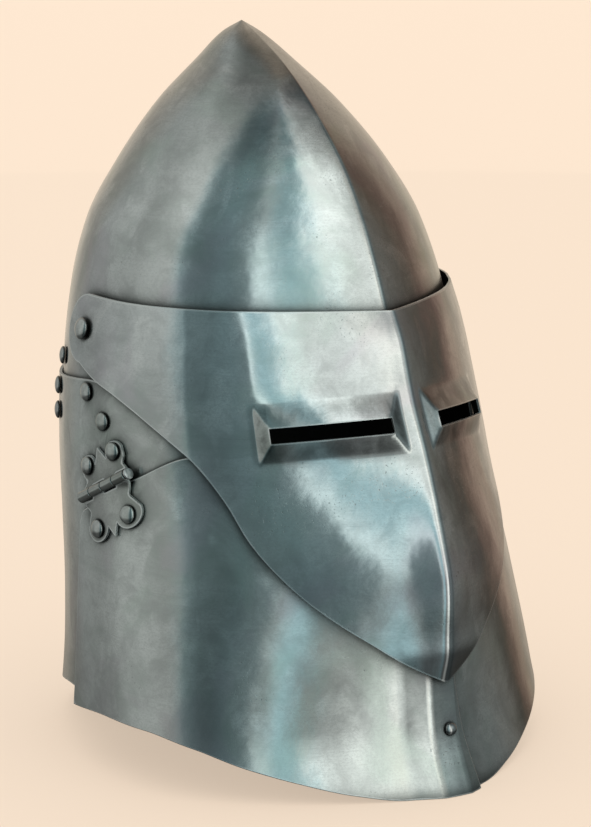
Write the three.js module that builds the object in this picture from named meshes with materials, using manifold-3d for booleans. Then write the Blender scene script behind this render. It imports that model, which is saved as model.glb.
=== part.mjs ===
// A visored sugarloaf helm in plate: skull, back plate, two hinged cheek plates and a pivoted visor.
// Millimetres. +Z is up, the face looks along -Y and the wearer's left is +X.
// The helm stands on the front and the back of its rim, at Z = 0.
import * as THREE from 'three';
import { mergeVertices } from 'three/addons/utils/BufferGeometryUtils.js';
import Module from 'manifold-3d';

const wasm = await Module();
wasm.setup();

// Sizes of the whole helm
const HELM_HEIGHT = 372; // rim to the point of the skull
const HALF_WIDTH = 106; // skull at the sights, middle to side
const FRONT_LENGTH = 120; // skull at the sights, widest plane to the ridge in front
const BACK_LENGTH = 112; // skull at the sights, widest plane to the nape
const RIM_RISE = 30; // how far the rim arches up over each shoulder
const RIDGE_POWER = 2.3; // how sharply the two front faces meet at the ridge
const RIDGE_EASE = 0.95; // share of the ridge's face angle that the layers are spaced by

// Sizes of the plates
const PLATE = 1.6; // wall of every plate
const GAP = 0.4; // clearance between plates that lie on each other
const VISOR_ROOM = 0.5; // more clearance where the visor swings over the skull
const LAP_ROOM = 0.6; // more clearance where the right cheek plate passes over the left
const LAP_WIDTH = 15; // how far the right cheek plate passes the middle at the rim
const LAP_COVER = 2; // how far it covers the left one's front edge
const SEAM_HEIGHT = 195; // top edge of the back plate at the temples
const SEAM_FALL = 6.5; // how far that edge falls towards the nape
const SEAM_LAP = 14; // how far the skull runs down inside the back plate
const BROW_HEIGHT = 222; // lower edge of the skull over the face
const THROAT_LAP = 14; // how far the back plate runs in under the cheek plates
const CHEEK_FRONT = 65; // front edge of the back plate, ahead of the origin plane
const CHEEK_DROP = 65; // seam down to the upper back corner of a cheek plate
const CHEEK_CORNER = SEAM_HEIGHT - CHEEK_DROP;
const CHEEK_BACK = -9; // back edge of a cheek plate, ahead of the origin plane

// Sizes of the visor
const PIVOT_DEPTH = -17; // the visor's pivots, ahead of the origin plane
const PIVOT_RISE = 25; // the seam up to the visor's pivots
const PIVOT_HEIGHT = SEAM_HEIGHT + PIVOT_RISE;
const ARM_RADIUS = 17.5; // rounded end of each visor arm
const VISOR_TOP = 236; // top edge of the visor at the ridge
const VISOR_TIP = 56; // lowest point of the visor
const BEAK_STAND = 8.1; // how far the visor's keel stands off the layer it lies in, at most
const SIGHT_HEIGHT = 183; // middle of the sights at their inner ends
const SIGHT_DROP = 5; // how far the sights fall towards their outer ends
const SIGHT_SLOT = 7.2; // width of each slot
const SIGHT_RISE = 5; // how far the folded box round each sight stands out
const SIGHT_BOX = 11.5; // slot to the edge of that box

// Sizes of the fastenings
const RIVET_RADIUS = 4.7;
const RIVET_DOME = 2.5;
const PIVOT_HEAD_RADIUS = 5.6;
const PIVOT_HEAD_DOME = 3.2;
const STUD_RADIUS = 3.2;
const STUD_DOME = 2.6;
const STUD_HEIGHT = 31;
const STUD_SHARE = 0.69; // its place across the blunt keel, from the right edge to the left
const SEAT = 0.3; // clearance under a head or a hinge leaf
const PIVOT_SEAT = 0.9; // clearance under a pivot head, which the arm tilts towards as it turns

// Sizes of the hinges
const HINGE_AHEAD = 22; // a cheek plate's back edge to the middle of the hinge
const HINGE_RISE = 14.5; // its upper back corner up to the middle of the hinge
const HINGE_DEPTH = CHEEK_BACK + HINGE_AHEAD;
const HINGE_HEIGHT = CHEEK_CORNER + HINGE_RISE;
const HINGE_SLOPE = 29; // degrees that the pin rises to the front
const HINGE_LENGTH = 39;
const LEAF_PLATE = 1.4;
const UPPER_LEAF_DEPTH = 20;
const LOWER_LEAF_DEPTH = 26;
const LOBE_SPACING = 22.6; // between the two rivets of a leaf
const KNUCKLE_RADIUS = 3;
const PIN_RADIUS = 1.4;
const PIN_CLEARANCE = 0.3;
const PIN_HEAD_RADIUS = 2.9;
const PIN_HEAD_LENGTH = 1.6;
const KNUCKLES = 4;

const FINISH = {
  skull: { color: 0xb9bbbd, roughness: 0.24, metalness: 1 },
  plate: { color: 0xb4b6b8, roughness: 0.27, metalness: 1 },
  visor: { color: 0xbcbec1, roughness: 0.22, metalness: 1 },
  fitting: { color: 0xa9abad, roughness: 0.34, metalness: 1 },
};

// Level sections of the helm from the rim up. up: share of the height. half, nose and back: shares of
// HALF_WIDTH, FRONT_LENGTH and BACK_LENGTH. mid: where the widest plane lies, as a share of FRONT_LENGTH.
// full: RIDGE_POWER's share, larger where the front faces bulge out more before they meet.
const SECTIONS = [
  { up: 0, half: 1.16, nose: 1.063, back: 1.348, mid: 0.25, full: 1.3 },
  { up: 0.094, half: 1.13, nose: 0.98, back: 1.262, mid: 0.22, full: 1.24 },
  { up: 0.202, half: 1.095, nose: 1.02, back: 1.152, mid: 0.142, full: 1.16 },
  { up: 0.309, half: 1.06, nose: 1.1, back: 1.063, mid: 0.042, full: 1.06 },
  { up: 0.417, half: 1.028, nose: 1.0875, back: 1.009, mid: -0.042, full: 1 },
  { up: 0.524, half: 1, nose: 1, back: 1, mid: -0.067, full: 1 },
  { up: 0.632, half: 0.929, nose: 0.921, back: 0.964, mid: -0.1, full: 1 },
  { up: 0.726, half: 0.83, nose: 0.817, back: 0.866, mid: -0.125, full: 1 },
  { up: 0.806, half: 0.66, nose: 0.683, back: 0.723, mid: -0.142, full: 1 },
  { up: 0.887, half: 0.434, nose: 0.479, back: 0.518, mid: -0.175, full: 1 },
  { up: 0.946, half: 0.217, nose: 0.271, back: 0.313, mid: -0.2, full: 1 },
  { up: 0.984, half: 0.085, nose: 0.092, back: 0.134, mid: -0.233, full: 1 },
  { up: 1, half: 0, nose: 0, back: 0, mid: -0.25, full: 1 },
];

// The visor's keel from its tip up. up: share of the way from VISOR_TIP to VISOR_TOP.
// stand: share of BEAK_STAND.
const KEEL = [
  { up: 0, stand: 0.29 },
  { up: 0.1, stand: 0.9 },
  { up: 0.19, stand: 0.95 },
  { up: 0.33, stand: 0.86 },
  { up: 0.48, stand: 0.84 },
  { up: 0.61, stand: 0.56 },
  { up: 0.8, stand: 0.41 },
  { up: 0.906, stand: 0.4 },
  { up: 1, stand: 0.1 },
];

// The visor's lower edge from the arm to the tip, seen from the side. along: share of the way from the
// pivot to the keel's peak. up: share of the way from VISOR_TIP to the lower edge of the arm.
const VISOR_EDGE = [
  { along: 0, up: 1 },
  { along: 0.03, up: 0.985 },
  { along: 0.09, up: 0.957 },
  { along: 0.18, up: 0.925 },
  { along: 0.26, up: 0.885 },
  { along: 0.36, up: 0.82 },
  { along: 0.46, up: 0.735 },
  { along: 0.56, up: 0.61 },
  { along: 0.64, up: 0.487 },
  { along: 0.75, up: 0.345 },
  { along: 0.845, up: 0.223 },
  { along: 0.925, up: 0.11 },
  { along: 0.98, up: 0 },
];

// The rim's rise seen from the side. along: share of the way from the nape to the front of the rim.
// cheeks and nape: shares of RIM_RISE for the cheek plates and for the back plate.
const RIM = [
  { along: 0, cheeks: 0, nape: 0 },
  { along: 0.02, cheeks: 0, nape: 0 },
  { along: 0.12, cheeks: 0.2, nape: 0.3 },
  { along: 0.24, cheeks: 0.58, nape: 0.8 },
  { along: 0.4, cheeks: 0.8, nape: 1.07 },
  { along: 0.54, cheeks: 0.96, nape: 1.07 },
  { along: 0.65, cheeks: 0.98, nape: 1.07 },
  { along: 0.74, cheeks: 0.83, nape: 1.07 },
  { along: 0.81, cheeks: 0.58, nape: 1.07 },
  { along: 0.87, cheeks: 0.35, nape: 1.07 },
  { along: 0.93, cheeks: 0.11, nape: 1.07 },
  { along: 0.97, cheeks: 0, nape: 1.07 },
  { along: 1, cheeks: 0, nape: 1.07 },
];

// The cheek plate's upper edge. ahead: distance ahead of its back edge as a share of CHEEK_FRONT.
// rise: height above its back corner as a share of SEAM_HEIGHT.
const CHEEK_EDGE = [
  { ahead: 0, rise: -0.04 },
  { ahead: 0.03, rise: -0.014 },
  { ahead: 0.1, rise: 0 },
  { ahead: 0.65, rise: 0.113 },
  { ahead: 1.06, rise: 0.18 },
  { ahead: 1.4, rise: 0.17 },
  { ahead: 1.9, rise: 0.06 },
  { ahead: 2.2, rise: -0.02 },
];

// Rivets of each side, as seen from that side. behind: distance behind the origin plane as a share of
// BACK_LENGTH. rise: share of the way from the hinge up to the seam. on: the plate that the head lies on.
const SIDE_RIVETS = [
  { name: 'seam', behind: 0.51, rise: 1.08, on: 'skull' },
  { name: 'nape_upper', behind: 0.5, rise: 0.77, on: 'back' },
  { name: 'nape_lower', behind: 0.5, rise: 0.51, on: 'back' },
  { name: 'temple_upper', behind: 0.098, rise: 0.87, on: 'back' },
  { name: 'temple_lower', behind: -0.045, rise: 0.62, on: 'back' },
];

// How far each layer's inner face lies outside the skull
const BACK_INNER = GAP;
const CHEEK_INNER = BACK_INNER + PLATE + GAP;
const LAP_LIFT = PLATE + GAP + LAP_ROOM; // how far the right cheek plate rises to pass over the left
const VISOR_INNER_TOP = BACK_INNER + PLATE + GAP + VISOR_ROOM;
const VISOR_INNER_LOW = CHEEK_INNER + PLATE + GAP;

// Joins named values by a curve that never overshoots them
function smoothTable(rows, xKey, yKey) {
  const x = rows.map((row) => row[xKey]);
  const y = rows.map((row) => row[yKey]);
  const slope = x.slice(1).map((_, i) => (y[i + 1] - y[i]) / (x[i + 1] - x[i]));
  const tangent = x.map((_, i) => {
    if (i === 0) return slope[0];
    if (i === x.length - 1) return slope[i - 1];
    if (slope[i - 1] * slope[i] <= 0) return 0;
    return 2 * slope[i - 1] * slope[i] / (slope[i - 1] + slope[i]);
  });
  return (at) => {
    const value = Math.min(Math.max(at, x[0]), x[x.length - 1]);
    let i = 0;
    while (i < x.length - 2 && value > x[i + 1]) i += 1;
    const h = x[i + 1] - x[i];
    const t = (value - x[i]) / h;
    const rise = y[i + 1] - y[i];
    const bend = (t - 1) * (t - 1) * t * h * tangent[i] + (t - 1) * t * t * h * tangent[i + 1];
    return y[i] + rise * t * t * (3 - 2 * t) + bend;
  };
}

const halfShare = smoothTable(SECTIONS, 'up', 'half');
const noseShare = smoothTable(SECTIONS, 'up', 'nose');
const backShare = smoothTable(SECTIONS, 'up', 'back');
const midShare = smoothTable(SECTIONS, 'up', 'mid');
const fullShare = smoothTable(SECTIONS, 'up', 'full');
const standShare = smoothTable(KEEL, 'up', 'stand');
const visorEdgeShare = smoothTable(VISOR_EDGE, 'along', 'up');
const cheekRimShare = smoothTable(RIM, 'along', 'cheeks');
const napeRimShare = smoothTable(RIM, 'along', 'nape');
const cheekEdgeShare = smoothTable(CHEEK_EDGE, 'ahead', 'rise');

// Depths are measured ahead of the origin plane, which the frame shift below puts in its place
function bodySection(height) {
  const up = Math.min(Math.max(height / HELM_HEIGHT, 0), 1);
  const mid = FRONT_LENGTH * midShare(up);
  const power = RIDGE_POWER * fullShare(up);
  const faceAngle = Math.atan(power * HALF_WIDTH / FRONT_LENGTH); // between a face and straight ahead
  return {
    half: HALF_WIDTH * halfShare(up),
    mid,
    nose: mid + FRONT_LENGTH * noseShare(up),
    back: mid - BACK_LENGTH * backShare(up),
    power,
    ridgeLift: 1 / Math.sin(faceAngle * RIDGE_EASE),
  };
}

// The visor clears the cheek plates low down and lies closer to the skull above them
function visorInner(height) {
  const share = Math.min(Math.max((height - CHEEK_CORNER) / (SEAM_HEIGHT - CHEEK_CORNER), 0), 1);
  return VISOR_INNER_LOW + (VISOR_INNER_TOP - VISOR_INNER_LOW) * share;
}

function visorSection(height) {
  const section = bodySection(height);
  const up = (height - VISOR_TIP) / (VISOR_TOP - VISOR_TIP);
  const stand = BEAK_STAND * standShare(Math.min(Math.max(up, 0), 1));
  return { ...section, nose: section.nose + (visorInner(height) + PLATE) * section.ridgeLift + stand };
}

// A place on a section. girth runs from 0 at the ridge to 1 at the widest plane and 2 at the nape,
// and from 0 to -1 on the other side of the ridge. lift is how far the place stands outside the section.
function onSection(section, girth, lift, noseLift) {
  const half = section.half + lift;
  const nose = section.nose + noseLift;
  const back = section.back - lift;
  const reach = Math.abs(girth);
  if (reach <= 1) {
    const width = half * (1 - (1 - reach) ** section.power);
    return { width: Math.sign(girth) * width, depth: section.mid + (nose - section.mid) * (1 - reach) };
  }
  const angle = (reach - 1) * Math.PI / 2;
  return {
    width: Math.sign(girth) * half * Math.cos(angle),
    depth: section.mid - (section.mid - back) * Math.sin(angle),
  };
}

// The girth at which a section reaches a given depth
function girthAt(section, depth) {
  if (depth >= section.mid) return 1 - (depth - section.mid) / (section.nose - section.mid);
  const share = Math.min((section.mid - depth) / (section.mid - section.back), 1);
  return 1 + Math.asin(share) * 2 / Math.PI;
}

const rimSection = bodySection(0);
const RIM_FRONT = rimSection.nose;
const RIM_BACK = rimSection.back;
const rimAlong = (depth) => (depth - RIM_BACK) / (RIM_FRONT - RIM_BACK);

// The frame's middle lies halfway between the lap in front and the back plate behind
const LAP_BLUNT = 0.02; // girth of the flat that blunts the cheek plates' keel
const lapOuter = CHEEK_INNER + PLATE + LAP_LIFT;
const lapFront = onSection(rimSection, LAP_BLUNT, lapOuter, lapOuter * rimSection.ridgeLift).depth;
const FRAME_SHIFT = (lapFront + RIM_BACK - BACK_INNER - PLATE) / 2;

// side is -1 for the wearer's right and 1 for the left
function point(section, side, girth, height, lift) {
  const place = onSection(section, girth, lift, lift * section.ridgeLift);
  return [side * place.width, FRAME_SHIFT - place.depth, height];
}

// Turns an outer and an inner grid of points into one closed plate. open(column, row) says which cells
// are cut away, and loop that the last column meets the first. A cell's walls are added wherever its
// neighbour is missing.
function plateGeometry(outer, inner, { open = () => false, loop = false } = {}) {
  const columns = outer.length - 1;
  const rows = outer[0].length - 1;
  const positions = [];
  const within = (c) => loop || (c >= 0 && c < columns);
  const solid = (c, r) => within(c) && r >= 0 && r < rows && !open(c, r);
  const quad = (a, b, c, d) => positions.push(...a, ...b, ...c, ...a, ...c, ...d);
  for (let c = 0; c < columns; c += 1) {
    for (let r = 0; r < rows; r += 1) {
      if (!solid(c, r)) continue;
      quad(outer[c][r], outer[c + 1][r], outer[c + 1][r + 1], outer[c][r + 1]);
      quad(inner[c][r], inner[c][r + 1], inner[c + 1][r + 1], inner[c + 1][r]);
      if (!solid(c - 1, r)) quad(outer[c][r], outer[c][r + 1], inner[c][r + 1], inner[c][r]);
      if (!solid(c + 1, r)) {
        quad(outer[c + 1][r + 1], outer[c + 1][r], inner[c + 1][r], inner[c + 1][r + 1]);
      }
      if (!solid(c, r - 1)) quad(outer[c + 1][r], outer[c][r], inner[c][r], inner[c + 1][r]);
      if (!solid(c, r + 1)) {
        quad(outer[c][r + 1], outer[c + 1][r + 1], inner[c + 1][r + 1], inner[c][r + 1]);
      }
    }
  }
  return fromPositions(positions);
}

const MERGE = 1e-4; // corners closer than this are one corner

function fromPositions(positions) {
  const soup = new THREE.BufferGeometry();
  soup.setAttribute('position', new THREE.Float32BufferAttribute(positions, 3));
  const geometry = withoutSlivers(mergeVertices(soup, MERGE));
  geometry.computeVertexNormals();
  return geometry;
}

// Drops triangles whose corners merged into one another
function withoutSlivers(geometry) {
  const index = geometry.index.array;
  const kept = [];
  for (let i = 0; i < index.length; i += 3) {
    const [a, b, c] = [index[i], index[i + 1], index[i + 2]];
    if (a !== b && b !== c && c !== a) kept.push(a, b, c);
  }
  geometry.setIndex(kept);
  return geometry;
}

const EDGE_TRIES = 30;
const EDGE_STRIDE = 0.6; // share of what is left that each try covers

// Settles a height on an edge that is drawn by depth, for a column whose depth changes with height
function heightOnEdge(edge, depthAt, guess) {
  let height = guess;
  for (let i = 0; i < EDGE_TRIES; i += 1) height += EDGE_STRIDE * (edge(depthAt(height)) - height);
  return height;
}

const steps = (count, make) => Array.from({ length: count + 1 }, (_, i) => make(i / count, i));
const mirrored = (list) => [...list.slice(1).reverse().map((value) => -value), ...list];

const group = new THREE.Group();

function add(name, geometry, finish) {
  const mesh = new THREE.Mesh(geometry, new THREE.MeshStandardMaterial(finish));
  mesh.name = name;
  group.add(mesh);
  return mesh;
}

// Skull
const SKULL_FRONT_COLUMNS = 11;
const SKULL_BACK_COLUMNS = 10;
const SKULL_ROWS = 13;
const SKULL_TOP = 0.985; // share of the height at which the point's own fan begins
const ROW_GATHER = 1.25; // how much closer the rows lie towards the point
const TIP_WALL = 1.5; // walls by which the hollow ends below the fan
const EDGE_START = 0.4; // share of CHEEK_FRONT at which the skull's lower edge starts to rise to the brow
const LEAN_STEP = HELM_HEIGHT * 0.01; // height either side over which the skull's lean is measured

function skullEdge(depth) {
  const start = CHEEK_FRONT * EDGE_START;
  const share = Math.min(Math.max((depth - start) / (CHEEK_FRONT - start), 0), 1);
  const low = SEAM_HEIGHT - SEAM_LAP;
  return low + (BROW_HEIGHT - low) * share * share * (3 - 2 * share);
}

// Makes the wall keep its thickness where the skull leans in
function leanFactor(height) {
  const above = bodySection(Math.min(height + LEAN_STEP, HELM_HEIGHT));
  const below = bodySection(height - LEAN_STEP);
  const lean = (below.half - above.half) / (2 * LEAN_STEP);
  return Math.sqrt(1 + lean * lean);
}

function makeSkull() {
  const girths = mirrored([
    ...steps(SKULL_FRONT_COLUMNS, (t) => t),
    ...steps(SKULL_BACK_COLUMNS, (t) => 1 + t).slice(1),
  ]);
  const column = (girth, lift) => {
    const depthAt = (height) => onSection(bodySection(height), girth, 0, 0).depth;
    const low = heightOnEdge(skullEdge, depthAt, SEAM_HEIGHT);
    const high = HELM_HEIGHT * SKULL_TOP;
    return steps(SKULL_ROWS, (t) => {
      const height = low + (high - low) * (1 - (1 - t) ** ROW_GATHER);
      return point(bodySection(height), 1, girth, height, lift * (lift < 0 ? leanFactor(height) : 1));
    });
  };
  const tip = bodySection(HELM_HEIGHT);
  const outerTip = [0, FRAME_SHIFT - tip.mid, HELM_HEIGHT];
  const innerTip = [0, FRAME_SHIFT - tip.mid, HELM_HEIGHT * SKULL_TOP - PLATE];
  const withTip = (points, apex) => [...points, apex];
  const lowered = ([x, y, z], row) => [x, y, row < SKULL_ROWS ? z : z - PLATE * TIP_WALL];
  const outer = girths.map((girth) => withTip(column(girth, 0), outerTip));
  const inner = girths.map((girth) => withTip(column(girth, -PLATE).map(lowered), innerTip));
  return add('skull', plateGeometry(outer, inner, { loop: true }), FINISH.skull);
}

// Back plate
const BACK_SIDE_COLUMNS = 12;
const BACK_NAPE_COLUMNS = 8;
const BACK_ROWS = 9;
const BACK_PLATE_END = THROAT_LAP * 0.4; // width over which the lower front edge falls to the rim
const SIDE_END = CHEEK_BACK - THROAT_LAP * 2; // where the sides' columns end and the nape's begin
const SEAM_FALL_END = CHEEK_BACK - BACK_LENGTH / 2; // where the seam has fallen all its way

function cheekTop(depth) {
  const ahead = (depth - CHEEK_BACK) / CHEEK_FRONT;
  return CHEEK_CORNER + SEAM_HEIGHT * cheekEdgeShare(ahead);
}

// The seam's height seen from the side
function seamTop(depth) {
  const share = Math.min(Math.max((CHEEK_BACK - depth) / (CHEEK_BACK - SEAM_FALL_END), 0), 1);
  return SEAM_HEIGHT - SEAM_FALL * share;
}

function backPlateEdge(depth) {
  const rim = RIM_RISE * napeRimShare(rimAlong(depth));
  const front = CHEEK_BACK + THROAT_LAP;
  const under = cheekTop(Math.max(depth, front)) - THROAT_LAP;
  const share = Math.min(Math.max((depth - front) / BACK_PLATE_END, 0), 1);
  return rim + (under - rim) * share;
}

function makeBackPlate() {
  const columns = [
    ...steps(BACK_SIDE_COLUMNS, (t) => ({ nape: 0, share: t })),
    ...steps(BACK_NAPE_COLUMNS, (t) => ({ nape: t, share: 1 })).slice(1),
  ];
  const girthOf = (entry, height) => {
    const depth = CHEEK_FRONT + (SIDE_END - CHEEK_FRONT) * entry.share;
    const side = girthAt(bodySection(height), depth);
    return side + (2 - side) * entry.nape;
  };
  const build = (entry, side, lift) => {
    const depthAt = (height) => onSection(bodySection(height), girthOf(entry, height), 0, 0).depth;
    const low = heightOnEdge(backPlateEdge, depthAt, SEAM_HEIGHT / 2);
    const high = heightOnEdge(seamTop, depthAt, SEAM_HEIGHT);
    return steps(BACK_ROWS, (t) => {
      const height = low + (high - low) * t;
      return point(bodySection(height), side, girthOf(entry, height), height, lift);
    });
  };
  const ring = (lift) => [
    ...columns.map((entry) => build(entry, 1, lift)),
    ...columns.slice(0, -1).reverse().map((entry) => build(entry, -1, lift)),
  ];
  return add('back_plate', plateGeometry(ring(BACK_INNER + PLATE), ring(BACK_INNER)), FINISH.plate);
}

// Cheek plates. The right one laps over the left in front.
const CHEEK_COLUMNS = 15;
const CHEEK_ROWS = 8;
const COLUMN_GATHER = 1.1; // how much closer the columns lie towards the back
const LAP_NARROWS = 1.1; // share of LAP_WIDTH lost from the rim up to CHEEK_CORNER
const LAP_LEAST = 0.53; // share of LAP_WIDTH that is left at the top
const LAP_STEP = 0.12; // girth at which the plates' columns begin to spread to the sides
const LAP_RISE = 0.06; // girth at which the right plate begins to rise

function cheekRim(depth) {
  return RIM_RISE * cheekRimShare(rimAlong(depth));
}

// The girth that lies a given width from the middle
const girthAcross = (section, width) => 1 - (1 - width / section.half) ** (1 / section.power);
const lapWidth = (height) => LAP_WIDTH * Math.max(1 - LAP_NARROWS * height / CHEEK_CORNER, LAP_LEAST);

function makeCheek(name, side) {
  const over = side < 0;
  const lapEdge = (height) => girthAcross(bodySection(height), lapWidth(height));
  const underEdge = (height) => girthAcross(bodySection(height), lapWidth(height) - LAP_COVER);
  const lapColumns = over
    ? [(h) => -lapEdge(h), () => -LAP_BLUNT, () => LAP_BLUNT, () => LAP_RISE, () => LAP_STEP]
    : [underEdge, (h) => (underEdge(h) + LAP_STEP) / 2, () => LAP_STEP];
  const girthOf = (entry, height) => {
    if (entry.lap) return entry.lap(height);
    const end = girthAt(bodySection(height), CHEEK_BACK);
    return LAP_STEP + (end - LAP_STEP) * entry.share;
  };
  const columns = [
    ...lapColumns.map((lap) => ({ lap })),
    ...steps(CHEEK_COLUMNS, (t) => ({ share: 1 - (1 - t) ** COLUMN_GATHER })).slice(1),
  ];
  const lapLift = (girth) => {
    if (!over) return 0;
    return LAP_LIFT * Math.min(Math.max((LAP_RISE - girth) / (LAP_RISE + LAP_BLUNT), 0), 1);
  };
  const build = (entry, lift) => {
    const depthAt = (height) => onSection(bodySection(height), girthOf(entry, height), 0, 0).depth;
    const low = heightOnEdge(cheekRim, depthAt, 0);
    const high = heightOnEdge(cheekTop, depthAt, CHEEK_CORNER);
    return steps(CHEEK_ROWS, (t) => {
      const height = low + (high - low) * t;
      const girth = girthOf(entry, height);
      return point(bodySection(height), side, girth, height, lift + lapLift(girth));
    });
  };
  const outer = columns.map((entry) => build(entry, CHEEK_INNER + PLATE));
  const inner = columns.map((entry) => build(entry, CHEEK_INNER));
  add(name, over ? plateGeometry(inner, outer) : plateGeometry(outer, inner), FINISH.plate);
  return outer;
}

// Visor
const SIGHT_INNER_GIRTH = 0.055;
const SIGHT_OUTER_GIRTH = 0.3;
const BOX_INNER_GIRTH = 0.025;
const BOX_OUTER_GIRTH = 0.338;
const SIGHT_COLUMNS = 5;
const VISOR_SIDE_GIRTHS = [0.45, 0.53];
const VISOR_ARM_SHARES = [0.27, 0.18, 0.09]; // columns between the pivot and the folded boxes
const ARM_ANGLES = [0, 30, 60, 83];
const CHIN_ROWS = 4;
const BROW_ROWS = 2;
const ARM_ROWS = [0.4, 0.52, 0.64, 0.82]; // rows behind the folded boxes, as shares of the visor's own width
const ROWS_SPREAD = 0.2; // girth over which the rows pass from the boxes to those shares
const TOP_RISE_END = 0.45; // share of the way to the keel at which the top edge reaches VISOR_TOP
const SIGHT_PAST = 0.3; // how far past its ends a sight's line goes on falling, as a share of its length
const RAD = Math.PI / 180;

// From the pivots to the keel at its furthest
const keelHeights = KEEL.map(({ up }) => VISOR_TIP + (VISOR_TOP - VISOR_TIP) * up);
const VISOR_REACH = Math.max(...keelHeights.map((height) => visorSection(height).nose)) - PIVOT_DEPTH;

function visorTop(depth) {
  const behind = PIVOT_DEPTH - depth;
  if (behind > 0) return PIVOT_HEIGHT + Math.sqrt(Math.max(ARM_RADIUS ** 2 - behind ** 2, 0));
  const share = Math.min(-behind / VISOR_REACH, 1);
  const crest = PIVOT_HEIGHT + ARM_RADIUS;
  return crest + (VISOR_TOP - crest) * Math.min(share / TOP_RISE_END, 1);
}

function visorBottom(depth) {
  const behind = PIVOT_DEPTH - depth;
  if (behind > 0) return PIVOT_HEIGHT - Math.sqrt(Math.max(ARM_RADIUS ** 2 - behind ** 2, 0));
  const arm = PIVOT_HEIGHT - ARM_RADIUS;
  return VISOR_TIP + (arm - VISOR_TIP) * visorEdgeShare(-behind / VISOR_REACH);
}

const sightMiddle = (girth) => {
  const share = (girth - SIGHT_INNER_GIRTH) / (SIGHT_OUTER_GIRTH - SIGHT_INNER_GIRTH);
  return SIGHT_HEIGHT - SIGHT_DROP * Math.min(Math.max(share, -SIGHT_PAST), 1 + SIGHT_PAST);
};

function visorColumns() {
  const sightSpan = SIGHT_OUTER_GIRTH - SIGHT_INNER_GIRTH;
  const sights = steps(SIGHT_COLUMNS, (t) => SIGHT_INNER_GIRTH + sightSpan * t);
  const fixed = [0, BOX_INNER_GIRTH, ...sights, BOX_OUTER_GIRTH, ...VISOR_SIDE_GIRTHS];
  const arms = VISOR_ARM_SHARES.map((share) => PIVOT_DEPTH + VISOR_REACH * share);
  const ends = ARM_ANGLES.map((angle) => PIVOT_DEPTH - ARM_RADIUS * Math.sin(angle * RAD));
  return [...fixed.map((girth) => ({ girth })), ...[...arms, ...ends].map((depth) => ({ depth }))];
}

// Row heights of one column: chin rows, the lower edge of the sight's box, the slot's two edges,
// the upper edge of the box, and brow rows
function visorHeights(entry, low, high) {
  const middle = sightMiddle(entry.girth ?? BOX_OUTER_GIRTH);
  const slot = SIGHT_SLOT / 2;
  const marks = [middle - slot - SIGHT_BOX, middle - slot, middle + slot, middle + slot + SIGHT_BOX];
  const even = ARM_ROWS.map((share) => low + (high - low) * share);
  const blend = entry.girth === undefined ? 1
    : Math.min(Math.max((entry.girth - BOX_OUTER_GIRTH) / ROWS_SPREAD, 0), 1);
  const set = marks.map((mark, i) => mark + (even[i] - mark) * blend);
  return [
    ...steps(CHIN_ROWS, (t) => low + (set[0] - low) * t).slice(0, -1),
    ...set,
    ...steps(BROW_ROWS, (t) => set[3] + (high - set[3]) * t).slice(1),
  ];
}

function makeVisor() {
  const columns = visorColumns();
  const slotRow = CHIN_ROWS + 1;
  const folded = (entry, row) => {
    const girth = entry.girth ?? 1;
    return (row === slotRow || row === slotRow + 1)
      && girth > BOX_INNER_GIRTH && girth < BOX_OUTER_GIRTH;
  };
  const build = (entry, side, wall) => {
    const girthOf = (height) => entry.girth ?? girthAt(visorSection(height), entry.depth);
    const depthAt = (height) => entry.depth ?? onSection(visorSection(height), entry.girth, 0, 0).depth;
    const low = heightOnEdge(visorBottom, depthAt, PIVOT_HEIGHT - ARM_RADIUS);
    const high = heightOnEdge(visorTop, depthAt, VISOR_TOP);
    return visorHeights(entry, low, high).map((height, row) => {
      const girth = girthOf(height);
      const lift = visorInner(height) + wall + (folded(entry, row) ? SIGHT_RISE : 0);
      const noseLift = wall - PLATE + (folded(entry, row) ? SIGHT_RISE : 0);
      const section = visorSection(height);
      const place = onSection(section, girth, lift, noseLift * section.ridgeLift);
      return [side * place.width, FRAME_SHIFT - place.depth, height];
    });
  };
  const ring = (wall) => [
    ...columns.slice(1).reverse().map((entry) => build(entry, -1, wall)),
    ...columns.map((entry) => build(entry, 1, wall)),
  ];
  const middle = columns.length - 1;
  const firstSight = columns.findIndex(({ girth }) => girth === SIGHT_INNER_GIRTH);
  const slots = (c, r) => {
    const away = c >= middle ? c - middle : middle - 1 - c;
    return r === slotRow && away >= firstSight && away < firstSight + SIGHT_COLUMNS;
  };
  return add('visor', plateGeometry(ring(PLATE), ring(0), { open: slots }), FINISH.visor);
}

const SLOPE_SPAN = 2; // distance either side over which a plate's slope is measured

// A frame on the outside of a plate: its place and its outward direction
function seatOn(sectionOf, side, depth, height, lift) {
  const at = (d, h) => {
    const section = sectionOf(h);
    return new THREE.Vector3(...point(section, side, girthAt(section, d), h, lift));
  };
  const place = at(depth, height);
  const ahead = at(depth + SLOPE_SPAN, height).sub(at(depth - SLOPE_SPAN, height));
  const above = at(depth, height + SLOPE_SPAN).sub(at(depth, height - SLOPE_SPAN));
  const outward = ahead.cross(above).normalize();
  if (outward.x * side < 0) outward.negate();
  return { place, outward };
}

const DOME_RIM = 0.25; // height of a head's upright rim, as a share of the head's height
const DOME_FOOT = 0.96; // a head's radius where it meets the plate, as a share of its own
const DOME_RINGS = 3;
const DOME_SIDES = 10;

function domeGeometry(radius, dome) {
  const rim = dome * DOME_RIM;
  const profile = [[0, 0], [radius * DOME_FOOT, 0]];
  for (let i = 0; i < DOME_RINGS; i += 1) {
    const angle = i / DOME_RINGS * Math.PI / 2;
    profile.push([radius * Math.cos(angle), rim + (dome - rim) * Math.sin(angle)]);
  }
  return closed(lathe([...profile, [0, dome]], DOME_SIDES));
}

const lathe = (profile, sides) => new THREE.LatheGeometry(
  profile.map(([radius, height]) => new THREE.Vector2(radius, height)),
  sides,
);

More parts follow.
